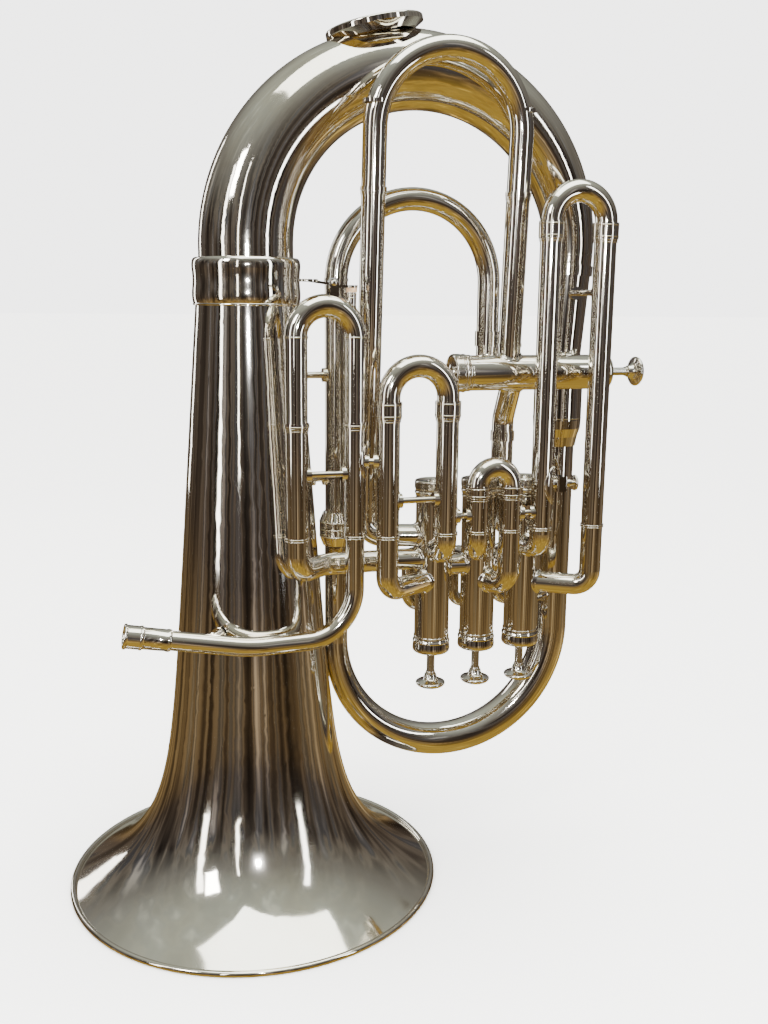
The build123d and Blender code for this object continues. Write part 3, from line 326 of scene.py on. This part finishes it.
bottom_cap_profile = mm(
    [
        (2.5, 1.4), (2.5, 0.3), (2.8, 0.0), (4.6, 0.0), (5.0, 0.5), (5.3, 1.0),
        (11.4, 1.0), (12.2, 0.3), (13.4, 0.0), (14.6, 0.35), (14.95, 1.1), (14.95, 1.5),
    ]
)
bottom_cap_rest = mm(
    [
        (14.95, 6.5), (14.8, 7.0), (14.4, 7.3), (14.4, 8.4), (14.9, 8.8), (15.1, 9.6),
        (14.9, 10.4), (14.4, 10.8), (14.3, 12.4), (13.92, 12.5), (13.92, 2.2), (2.5, 2.2),
    ]
)
KNURL_ROWS = 8
knurl_rows = [(14.95 * MM, (1.7 + 4.6 * i / (KNURL_ROWS - 1)) * MM) for i in range(KNURL_ROWS)]
knurl_first = len(bottom_cap_profile)


def cap_knurl(angle, index):
    """Shallow diamond knurl on the cap's grip band."""
    row = index - knurl_first
    if 0 <= row < KNURL_ROWS:
        phase = 64 * angle + (math.pi if row % 2 else 0)
        return 0.17 * MM * math.cos(phase)
    return 0.0


bottom_caps = bmesh.new()
for origin, axis, span in valve_places:
    far = along(origin, axis, span)
    back = tuple(-a for a in axis)
    add_lathe(bottom_caps, bottom_cap_profile + knurl_rows + bottom_cap_rest, far, back, 256, cap_knurl)
bottom_cap_piece = place("knurled_bottom_caps", bottom_caps, knurl_silver, "horn", sharp_deg=50)
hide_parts("valve_bottom_caps")

button_profile = mm(
    [
        (0, -29.75), (4.0, -29.7), (7.4, -29.55), (9.2, -29.2), (10.6, -28.5), (11.5, -27.6), (11.95, -26.7),
        (12.0, -26.2), (11.85, -25.7), (11.2, -25.1), (9.8, -24.6), (8.0, -24.1), (6.6, -23.3), (5.7, -22.2),
        (5.1, -20.8), (4.8, -19.4), (4.7, -18.9), (4.2, -18.5), (0, -18.5),
    ]
)
for number, (origin, axis, span) in enumerate(valve_places, 1):
    bm = bmesh.new()
    add_lathe(bm, button_profile, origin, axis, 96, closed=False)
    button = place(f"domed_button_{number}", bm, button_silver, f"valve_{number}")
    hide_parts(f"finger_button_{number}")
    stem_rings = bmesh.new()
    for offset in (-17.9, -16.9):
        collar = band(3.85 * MM, 3.2 * MM, 0.7 * MM, 0.2 * MM)
        add_lathe(stem_rings, collar, along(origin, axis, offset * MM), axis, 48)
    place(f"stem_collar_{number}", stem_rings, silver, f"valve_{number}")

# a bead on each casing just inside each cap
CASING_BEAD_INSET = 14.2 * MM
casing_beads = []
for origin, axis, span in valve_places:
    for distance in (CASING_BEAD_INSET, span - CASING_BEAD_INSET):
        casing_beads.append((along(origin, axis, distance), axis))
ring_piece("casing_beads", casing_beads, bead(CASING_R, 13.7 * MM, 0.45 * MM), segments=96)

# --- rings on the slides -----------------------------------------------------------------
SLIDE_Y, MAIN_Y = middle("slide_1_crook").y, middle("main_slide_crook").y
REAR_Y = middle("compensating_slide_1").y
INNER_R = 7.75 * MM
TUBE_R = 8.5 * MM
RING_R = TUBE_R + 0.55 * MM
KNUCKLE_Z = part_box("main_slide_inlet_tube")[0].z - 1 * MM
# each slide's two leg positions along X, its Y, and the height of its outer tubes' mouths
leg_xs = {}
for slide_name in ("main_slide", "slide_1", "slide_2", "slide_3"):
    low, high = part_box(f"{slide_name}_inner_tubes")
    outer = "main_slide_outlet_tube" if slide_name == "main_slide" else f"{slide_name}_outer_tubes"
    slide_y = MAIN_Y if slide_name == "main_slide" else SLIDE_Y
    leg_xs[slide_name] = ((low.x + INNER_R, high.x - INNER_R), slide_y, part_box(outer)[1].z)
DOUBLE_LINE = 0.85 * MM
outer_rings = []
for xs, y, mouth in leg_xs.values():
    for x in xs:
        for z in (mouth - 1.2 * MM, KNUCKLE_Z):
            for shift in (-DOUBLE_LINE, DOUBLE_LINE):
                outer_rings.append(((x, y, z + shift), UP))
ring_piece("slide_mouth_beads", outer_rings, bead(RING_R - 0.1 * MM, 8.2 * MM, 0.38 * MM), segments=72)

# bead heights above the outer tubes' mouths, in mm
ferrule_heights = {
    "main_slide": (1.2, 65.2),
    "slide_1": (2.0, 10.6),
    "slide_2": (1.6, 7.2),
    "slide_3": (2.0, 10.6),
}
CROOK_BEAD_RISE = 50
FERRULE_R = 9.75 * MM
for slide_name, (xs, y, mouth) in leg_xs.items():
    spots = []
    for x in xs:
        for rise in ferrule_heights[slide_name]:
            radius_here = RING_R if rise > CROOK_BEAD_RISE else FERRULE_R
            spots.append(((x, y, mouth + rise * MM), radius_here))
    bm = bmesh.new()
    for origin, radius_here in spots:
        add_lathe(bm, bead(radius_here - 0.1 * MM, radius_here - 1.1 * MM, 0.42 * MM), origin, UP, 72)
    place(f"{slide_name}_ferrule_beads", bm, silver, slide_name)

# --- bell ferrule, receiver, guard cap ---------------------------------------------------
ferrule_low, ferrule_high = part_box("bell_ferrule")
FERRULE_HEIGHT_MM = (ferrule_high.z - ferrule_low.z) / MM
ferrule_profile = mm(
    [
        (38.75, 0.0), (39.9, 0.0), (40.3, 0.5), (40.3, 1.1), (39.95, 1.6), (40.25, 2.6),
        (40.6, 4.6), (40.78, 7.0), (40.75, 9.6), (40.5, 12.6), (40.25, 15.5), (40.1, 18.0),
        (40.12, 20.5), (40.3, 23.5), (40.6, 26.4), (40.78, 28.6), (40.75, 30.6), (40.4, 32.6),
        (39.8, 34.0), (38.9, 34.8), (38.2, FERRULE_HEIGHT_MM),
        (35.6, FERRULE_HEIGHT_MM), (35.6, 17.0), (38.75, 17.0),
    ]
)
bm = bmesh.new()
add_lathe(bm, ferrule_profile, (0, 0, ferrule_low.z), (0, 0, 1), 224)
bell_sleeve = place("barrel_bell_ferrule", bm, silver, "horn")
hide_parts("bell_ferrule")

ring_piece(
    "left_leg_ferrule_beads",
    [(middle("left_leg_ferrule") + Vector((0, 0, rise * MM)), UP) for rise in (-5.8, 0.0, 5.8)],
    bead(13.45 * MM, 12.6 * MM, 0.4 * MM),
)
cup_x, cup_top = middle("right_leg_ferrule").x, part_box("right_leg_ferrule")[1].z
ring_piece(
    "right_cup_beads",
    [((cup_x, 0, cup_top - drop * MM), UP) for drop in (31.5, 1.4)],
    bead(19.9 * MM, 19.0 * MM, 0.4 * MM),
    segments=96,
)

receiver_mount = next(m for m in frame["record"]["mounts"] if m["name"] == "mouthpiece_receiver")
receiver_out = Vector(receiver_mount["axis"])
half_bore = receiver_mount["dims"]["length_mm"] / 2 * MM
receiver_mouth = Vector(receiver_mount["pos_m"]) + receiver_out * half_bore
receiver_profile = mm(
    [
        (6.4, 30.0), (6.4, 1.0), (6.9, 0.25), (7.6, 0.0), (8.7, 0.15), (9.3, 0.8), (9.4, 1.4), (9.1, 2.2),
        (8.65, 2.6), (8.6, 11.6), (8.95, 12.0), (9.05, 12.7), (8.95, 13.4), (8.3, 14.0), (8.1, 14.6),
        (8.05, 30.6), (8.35, 31.2), (8.4, 32.2), (8.3, 33.2), (7.8, 34.0), (7.36, 34.0), (7.36, 30.0),
    ]
)
bm = bmesh.new()
add_lathe(bm, receiver_profile, receiver_mouth, -receiver_out, 96)
receiver = place("turned_receiver", bm, silver, "horn")
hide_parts("mouthpiece_receiver")

guard_angle = math.radians(102)
guard_out = Vector((math.cos(guard_angle), 0, math.sin(guard_angle)))
BOW_R, GUARD_FACE_RISE = 133.5 * MM, 33.9 * MM
bow_centre = Vector((BOW_R, 0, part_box("right_leg_tube")[1].z))
guard_centre = bow_centre + guard_out * (BOW_R + GUARD_FACE_RISE)
guard_profile = mm(
    [
        (0, -0.7), (3.0, -0.75), (4.6, -1.1), (5.2, -1.45), (11.5, -1.5), (12.2, -1.1),
        (13.0, -1.1), (13.7, -1.5), (25.5, -1.5), (26.2, -1.1), (27.0, -1.1), (27.7, -1.5),
        (31.6, -1.5), (32.4, -1.0), (32.9, -0.3),
        (32.9, -1.8), (0, -1.8),
    ]
)
bm = bmesh.new()
add_lathe(bm, guard_profile, guard_centre, guard_out, 128, closed=False)
place("guard_cap_dish", bm, silver, "horn")

# --- saddle flanges where tubes meet the valve casings -----------------------------------
# flange section: how far each ring spreads past the tube and lifts off the casing, in mm
SADDLE = (
    (1.5, -0.3), (1.5, 0.25), (1.35, 0.6), (1.0, 0.9), (0.5, 1.3), (0.2, 1.9), (0.05, 2.2), (0.05, -0.3)
)
SADDLE_STEPS = 72


def add_saddle(bm, origin, valve_axis, toward, tube_r):
    """Thin flange that follows a casing's curve around one port."""
    valve_axis = Vector(valve_axis)
    toward = Vector(toward)
    toward = (toward - valve_axis * toward.dot(valve_axis)).normalized()
    lateral = valve_axis.cross(toward)
    rings = []
    for spread, lift in SADDLE:
        reach = tube_r + spread * MM
        loop = []
        for step in range(SADDLE_STEPS):
            angle = 2 * math.pi * step / SADDLE_STEPS
            across = reach * math.cos(angle)
            out = math.sqrt(max(CASING_R**2 - across**2, 0)) + lift * MM
            along_valve = valve_axis * (reach * math.sin(angle))
            spot = Vector(origin) + toward * out + lateral * across + along_valve
            loop.append(bm.verts.new(spot))
        rings.append(loop)
    for a, b in zip(rings, rings[1:] + rings[:1]):
        for step in range(SADDLE_STEPS):
            nxt = (step + 1) % SADDLE_STEPS
            bm.faces.new((a[step], a[nxt], b[nxt], b[step]))


LOOP_INNER_R = 8.23 * MM
loop_low, loop_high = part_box("slide_4_inner_tubes")
loop_left_x, loop_right_x = loop_low.x + LOOP_INNER_R, loop_high.x - LOOP_INNER_R
LOOP_RETURN_SETBACK = 9.54 * MM
loop_return_y = SIDE_Y + LOOP_RETURN_SETBACK
elbow_x = middle("arch_elbow").x
riser_x, riser_y = elbow_x + 10 * MM, SIDE_Y + 19 * MM
PORT_SHIFT, COMPENSATING_PORT_R = 10 * MM, 5.9
first_xs, second_xs, third_xs = (leg_xs[slide_name][0] for slide_name in ("slide_1", "slide_2", "slide_3"))
# casing index, height above the casing's lower end in mm, where the tube goes, tube radius in mm
ports = [
    (0, 75, (0, ROW_Y), 8.5), (0, 58, (first_xs[0], SLIDE_Y), 8.5), (0, 84, (first_xs[1], SLIDE_Y), 8.5),
    (0, 93, (loop_left_x, loop_return_y), 9.0), (1, 84, (second_xs[0], SLIDE_Y), 8.5),
    (1, 56, (second_xs[1], SLIDE_Y), 8.5), (2, 84, (third_xs[0], SLIDE_Y), 8.5),
    (2, 51, (third_xs[1], SLIDE_Y), 8.5),
    (2, 93, (riser_x, riser_y), 8.75),
    (0, 68, (UPRIGHT_XS[1], ROW_Y), 8.0), (1, 68, (UPRIGHT_XS[0], ROW_Y), 8.0),
    (1, 68, (UPRIGHT_XS[2], ROW_Y), 8.0), (2, 68, (UPRIGHT_XS[1], ROW_Y), 8.0),
]
for index, x in enumerate(UPRIGHT_XS):
    ports.append((index, 73, (x - PORT_SHIFT, REAR_Y), COMPENSATING_PORT_R))
    ports.append((index, 64, (x + PORT_SHIFT, REAR_Y), COMPENSATING_PORT_R))
bm = bmesh.new()
for index, height, (to_x, to_y), tube_r in ports:
    origin = (UPRIGHT_XS[index], ROW_Y, CASING_LOW_Z + height * MM)
    add_saddle(bm, origin, UP, (to_x - origin[0], to_y - origin[1], 0), tube_r * MM)
side_ports = (
    (loop_right_x, (0, -0.0665, 0.9978), 9.0),
    (riser_x, (0, 19, -38.5), 8.75),
    (elbow_x, (0, 1, 0), 8.9),
)
for x, toward, tube_r in side_ports:
    add_saddle(bm, (x, SIDE_Y, SIDE_Z), (1, 0, 0), toward, tube_r * MM)
place("casing_saddle_flanges", bm, silver, "horn")

# --- oval plates wrapped on tubes --------------------------------------------------------
# angle about the tube, from +X, that the large plates face
PLATE_FACING = math.radians(-17)


def oval_plate(name, centre, facing, half_wrap, half_height):
    """Elliptical plate bent round an upright slide tube, with a rolled edge."""
    bm = bmesh.new()
    centre = Vector(centre)
    thickness = 0.55 * MM
    steps, rows = 72, 7

    def spot(share, angle, lift):
        wrap = facing + half_wrap * share * math.cos(angle)
        r = TUBE_R + lift
        height = half_height * share * math.sin(angle)
        return centre + Vector((r * math.cos(wrap), r * math.sin(wrap), height))

    rings = []
    for row in range(1, rows + 1):
        share = row / rows
        lift = thickness * math.sqrt(max(1 - (share**8), 0.0)) + 0.02 * MM
        turns = [2 * math.pi * s / steps for s in range(steps)]
        rings.append([bm.verts.new(spot(share, turn, lift)) for turn in turns])
    hub = bm.verts.new(spot(0, 0, thickness))
    for s in range(steps):
        bm.faces.new((hub, rings[0][s], rings[0][(s + 1) % steps]))
    for a, b in zip(rings, rings[1:]):
        for s in range(steps):
            bm.faces.new((a[s], b[s], b[(s + 1) % steps], a[(s + 1) % steps]))
    edge = [spot(1.0, 2 * math.pi * s / 96, 0.3 * MM) for s in range(97)]
    add_tube(bm, edge, lambda share: 0.34 * MM, 10)
    return place(name, bm, silver, "horn")


brace_low, brace_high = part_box("slide_braces")
BRACE_R = 5.5 * MM
upper_brace_z, lower_brace_z = brace_high.z - BRACE_R, brace_low.z + BRACE_R
lyre_place = (third_xs[0], SLIDE_Y, middle("lyre_socket").z)
oval_plate("lyre_oval_plate", lyre_place, PLATE_FACING, math.radians(84), 15.5 * MM)
brace_place = (leg_xs["main_slide"][0][1], MAIN_Y, upper_brace_z)
oval_plate("slide_brace_oval", brace_place, PLATE_FACING, math.radians(66), 13.0 * MM)
low_brace_places = (
    ("lower", first_xs[1], lower_brace_z),
    ("middle", second_xs[1], lower_brace_z),
    ("first", first_xs[0], lower_brace_z + 14 * MM),
)
for label, x, z in low_brace_places:
    oval_plate(f"{label}_brace_oval", (x, SLIDE_Y, z), 0.0, math.radians(44), 7.0 * MM)

guard_low, guard_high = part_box("leg_guard_plate")
GUARD_PLATE_R = 15.65 * MM
guard_middle_z = (guard_low.z + guard_high.z) / 2
leg_centre = Vector((guard_low.x + GUARD_PLATE_R, guard_low.y + GUARD_PLATE_R, guard_middle_z))
guard_half = (guard_high.z - guard_low.z) / 2
bm = bmesh.new()
outline = []
GUARD_WRAP, GUARD_R = math.radians(47), 15.7 * MM
GUARD_STEPS, GUARD_FACING = 160, math.radians(225)
for step in range(GUARD_STEPS + 1):
    turn = 2 * math.pi * step / GUARD_STEPS
    across = math.copysign(abs(math.sin(turn)) ** 1.5, math.sin(turn)) * GUARD_WRAP
    angle = GUARD_FACING + across
    height = guard_half * 0.985 * math.cos(turn)
    outline.append(leg_centre + Vector((GUARD_R * math.cos(angle), GUARD_R * math.sin(angle), height)))
add_tube(bm, outline, lambda share: 0.4 * MM, 10)
place("guard_plate_edge", bm, silver, "horn")

# --- water key fittings ------------------------------------------------------------------
joint_places = {joint["name"]: joint.get("pos_m") for joint in frame["joints"]}
HINGE = Vector(joint_places["water_key_hinge"])
for side, label in ((-1, "front"), (1, "rear")):
    bm = bmesh.new()
    head = mm([(0, 0.0), (1.9, 0.0), (2.1, 0.3), (2.1, 0.7), (1.7, 1.1), (0.9, 1.3), (0, 1.35)])
    add_lathe(bm, head, HINGE + Vector((0, side * 4.75 * MM, 0)), (0, side, 0), 40, closed=False)
    place(f"water_key_screw_{label}", bm, silver, "main_slide")
bm = bmesh.new()
spring_points = []
SPRING_TURNS, SPRING_STEPS, SPRING_R = 4.5, 180, 3.25 * MM
for step in range(SPRING_STEPS + 1):
    share = step / SPRING_STEPS
    angle = 2 * math.pi * SPRING_TURNS * share
    y = (-2.3 + 4.6 * share) * MM
    spring_points.append(HINGE + Vector((SPRING_R * math.sin(angle), y, SPRING_R * math.cos(angle))))
add_tube(bm, spring_points, lambda share: 0.32 * MM, 12)
place("water_key_spring", bm, spring_steel, "water_key")
cork_middle, cork_low = middle("water_key_cork"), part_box("water_key_cork")[0]
ring_piece(
    "water_key_nipple_rings",
    [(Vector((cork_middle.x, cork_middle.y, cork_low.z - drop * MM)), UP) for drop in (3.9, 1.5)],
    bead(3.4 * MM, 3.0 * MM, 0.4 * MM),
    body="main_slide",
    segments=48,
)

# --- lyre thumb screw --------------------------------------------------------------------
screw_profile = mm(
    [
        (0, 2.3), (1.3, 2.3), (1.6, 2.6), (1.6, 5.2), (2.8, 5.2), (3.0, 5.5), (3.0, 8.7),
        (2.7, 9.0), (1.9, 9.2), (1.7, 9.8), (2.0, 10.6), (3.6, 11.0), (5.6, 11.1),
        (6.1, 11.5), (6.1, 12.0), (6.1, 12.6), (6.1, 13.0),
        (5.6, 13.4), (4.0, 13.5), (2.2, 13.45), (0, 13.3),
    ]
)


# the profile points that carry the coin-edge grip
GRIP_FIRST, GRIP_LAST = 14, 17


def thumb_grip(angle, index):
    """Coin-edge grip on the thumb screw's head."""
    return 0.12 * MM * math.cos(40 * angle) if GRIP_FIRST <= index <= GRIP_LAST else 0.0


bm = bmesh.new()
add_lathe(bm, screw_profile, joint_places["lyre_screw_turn"], (1, 0, 0), 160, thumb_grip, closed=False)
screw = place("coin_edge_lyre_screw", bm, silver, "lyre_screw")
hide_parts("lyre_screw")


# --- camera, floor and light -------------------------------------------------------------
camera_data = bpy.data.cameras.new("camera")
camera_data.lens = 36.91
camera_data.sensor_width = 36.0
camera_data.clip_end = 50.0
camera = bpy.data.objects.new("camera", camera_data)
bpy.context.scene.collection.objects.link(camera)
camera.location = (-0.1363, -0.8064, 0.4675)
look = Vector((0.2868, 0.9380, -0.1949))
camera_roll = math.radians(0.52)
aim = look.to_track_quat("-Z", "Y").to_matrix()
camera.rotation_euler = (aim @ Matrix.Rotation(camera_roll, 3, "Z")).to_euler()
bpy.context.scene.camera = camera


def stage_sheet(name, corners, colour, strength=0.0, seen=True):
    """A flat stage card, plain or glowing."""
    bm = bmesh.new()
    bm.faces.new([bm.verts.new(Vector(c)) for c in corners])
    mesh = bpy.data.meshes.new(name)
    bm.to_mesh(mesh)
    bm.free()
    obj = bpy.data.objects.new(name, mesh)
    bpy.context.scene.collection.objects.link(obj)
    mat = bpy.data.materials.new(name)
    mat.use_nodes = True
    shader = mat.node_tree.nodes["Principled BSDF"]
    shader.inputs["Base Color"].default_value = (*colour, 1)
    shader.inputs["Roughness"].default_value = 0.9
    shader.inputs["Specular IOR Level"].default_value = 0.0
    if strength:
        shader.inputs["Emission Color"].default_value = (*colour, 1)
        shader.inputs["Emission Strength"].default_value = strength
    mesh.materials.append(mat)
    obj.visible_camera = seen
    return obj


FLOOR_HALF = 40.0
BACKDROP, BACKDROP_STRENGTH = (1.0, 0.995, 0.985, 1), 4.0
floor_corners = [(x * FLOOR_HALF, y * FLOOR_HALF, 0) for x, y in ((-1, -1), (1, -1), (1, 1), (-1, 1))]
floor = stage_sheet("floor", floor_corners, (0.92, 0.915, 0.90), BACKDROP_STRENGTH)
# soft contact shadow painted into the floor's glow under the instrument
floor.visible_glossy = False
floor_tree = floor.data.materials[0].node_tree
# painted shadow: the occlusion colour darkens the floor's emission wherever the instrument is near
painted_contact_shadow = floor_tree.nodes.new("ShaderNodeAmbientOcclusion")
painted_contact_shadow.inputs["Distance"].default_value = 0.30
painted_contact_shadow.inputs["Color"].default_value = BACKDROP
painted_shadow_depth = floor_tree.nodes.new("ShaderNodeGamma")
painted_shadow_depth.inputs["Gamma"].default_value = 1.5
floor_tree.links.new(painted_contact_shadow.outputs["Color"], painted_shadow_depth.inputs["Color"])
floor_shader = floor_tree.nodes["Principled BSDF"]
floor_tree.links.new(painted_shadow_depth.outputs["Color"], floor_shader.inputs["Emission Color"])


def upright_card(name, azimuth, distance, width, low, high, colour, strength=0.0):
    """Card facing the instrument at an azimuth measured from +X, hidden from the camera."""
    angle = math.radians(azimuth)
    centre = Vector((math.cos(angle), math.sin(angle), 0)) * distance
    side = Vector((-math.sin(angle), math.cos(angle), 0)) * (width / 2)
    corners = [centre - side, centre + side, centre + side, centre - side]
    heights = (low, low, high, high)
    outline = [(corner.x, corner.y, height) for corner, height in zip(corners, heights)]
    return stage_sheet(name, outline, colour, strength, seen=False)


def area_light(name, location, target, size, power, colour=(1, 1, 1)):
    """Rectangular soft light aimed at a point."""
    data = bpy.data.lights.new(name, "AREA")
    data.shape = "RECTANGLE"
    data.size, data.size_y = size
    data.energy = power
    data.color = colour
    obj = bpy.data.objects.new(name, data)
    obj.location = location
    obj.rotation_euler = (Vector(target) - Vector(location)).to_track_quat("-Z", "Y").to_euler()
    bpy.context.scene.collection.objects.link(obj)
    return obj


world = bpy.data.worlds.new("world")
bpy.context.scene.world = world
world.use_nodes = True
sky = world.node_tree
sky.nodes.clear()
sky_out = sky.nodes.new("ShaderNodeOutputWorld")
sky_coords = sky.nodes.new("ShaderNodeTexCoord")
sky_mapping = sky.nodes.new("ShaderNodeMapping")
sky_mapping.inputs["Scale"].default_value = (3.2, 3.2, 0.45)
sky_noise = sky.nodes.new("ShaderNodeTexNoise")
sky_noise.inputs["Scale"].default_value = 1.9
sky_noise.inputs["Detail"].default_value = 2.0


def ramp_node(tones):
    """Colour ramp with the given (position, colour) stops."""
    node = sky.nodes.new("ShaderNodeValToRGB")
    elements = node.color_ramp.elements
    while len(elements) < len(tones):
        elements.new(0.5)
    for element, (position, tone) in zip(elements, tones):
        element.position = position
        element.color = (*tone, 1)
    return node


# height of the reflected direction, 0 straight down to 1 straight up
HEIGHT_TONES = [
    (0.00, (0.50, 0.33, 0.06)),
    (0.20, (0.46, 0.30, 0.06)),
    (0.34, (0.26, 0.18, 0.08)),
    (0.44, (0.085, 0.068, 0.055)),
    (0.60, (0.115, 0.105, 0.098)),
    (0.76, (0.24, 0.235, 0.21)),
    (0.92, (0.52, 0.55, 0.47)),
]
ROOM_TONES = [
    (0.34, (0.16, 0.14, 0.13)),
    (0.46, (0.62, 0.56, 0.50)),
    (0.52, (1.45, 1.35, 1.20)),
    (0.56, (0.50, 0.55, 0.64)),
    (0.62, (1.2, 1.25, 1.4)),
    (0.70, (4.0, 4.0, 4.0)),
]
# how strongly the room's pattern shows at each height: none on the ceiling
PATTERN_TONES = [
    (0.10, (0.25, 0.25, 0.25)),
    (0.40, (1.0, 1.0, 1.0)),
    (0.60, (1.0, 1.0, 1.0)),
    (0.74, (0.12, 0.12, 0.12)),
]
sky_split = sky.nodes.new("ShaderNodeSeparateXYZ")
sky_height = sky.nodes.new("ShaderNodeMapRange")
sky_height.inputs["From Min"].default_value = -1.0
sky_height.inputs["From Max"].default_value = 1.0
height_ramp = ramp_node(HEIGHT_TONES)
sky_ramp = ramp_node(ROOM_TONES)
pattern_ramp = ramp_node(PATTERN_TONES)
sky_mix = sky.nodes.new("ShaderNodeMix")
sky_mix.data_type = "RGBA"
sky_mix.blend_type = "MULTIPLY"
room = sky.nodes.new("ShaderNodeBackground")
room.inputs["Strength"].default_value = 1.0
plain = sky.nodes.new("ShaderNodeBackground")
plain.inputs["Color"].default_value = BACKDROP
plain.inputs["Strength"].default_value = BACKDROP_STRENGTH
path = sky.nodes.new("ShaderNodeLightPath")
pick = sky.nodes.new("ShaderNodeMixShader")
sky.links.new(sky_coords.outputs["Generated"], sky_mapping.inputs["Vector"])
sky.links.new(sky_coords.outputs["Generated"], sky_split.inputs["Vector"])
sky.links.new(sky_split.outputs["Z"], sky_height.inputs["Value"])
sky.links.new(sky_height.outputs["Result"], height_ramp.inputs["Fac"])
sky.links.new(sky_mapping.outputs["Vector"], sky_noise.inputs["Vector"])
sky.links.new(sky_noise.outputs["Fac"], sky_ramp.inputs["Fac"])
sky.links.new(height_ramp.outputs["Color"], sky_mix.inputs["A"])
sky.links.new(sky_height.outputs["Result"], pattern_ramp.inputs["Fac"])
sky.links.new(pattern_ramp.outputs["Color"], sky_mix.inputs["Factor"])
sky.links.new(sky_ramp.outputs["Color"], sky_mix.inputs["B"])
sky.links.new(sky_mix.outputs["Result"], room.inputs["Color"])
sky.links.new(path.outputs["Is Camera Ray"], pick.inputs["Fac"])
sky.links.new(room.outputs["Background"], pick.inputs[1])
sky.links.new(plain.outputs["Background"], pick.inputs[2])
sky.links.new(pick.outputs["Shader"], sky_out.inputs["Surface"])

upright_card("left_strip", 205, 1.6, 0.16, 0.1, 1.5, (1.0, 0.98, 0.94), 5.0)
upright_card("right_strip", -48, 1.6, 0.14, 0.1, 1.5, (0.96, 0.98, 1.0), 5.0)
upright_card("front_strip", -118, 2.2, 0.10, 0.3, 1.6, (1.0, 0.97, 0.90), 5.0)
upright_card("rear_strip", 120, 1.8, 0.20, 0.1, 1.5, (1.0, 0.98, 0.94), 3.0)
area_light("overhead", (0.2, -0.3, 2.0), (0.1, 0, 0.35), (1.8, 1.2), 34.0, (0.97, 1.0, 0.93))
area_light("key", (-1.5, -1.1, 1.5), (0.05, 0, 0.3), (0.4, 0.6), 16.0, (1.0, 0.98, 0.94))
area_light("flash", (-0.12, -0.95, 0.55), (0.05, 0, 0.35), (0.045, 0.035), 7.0)
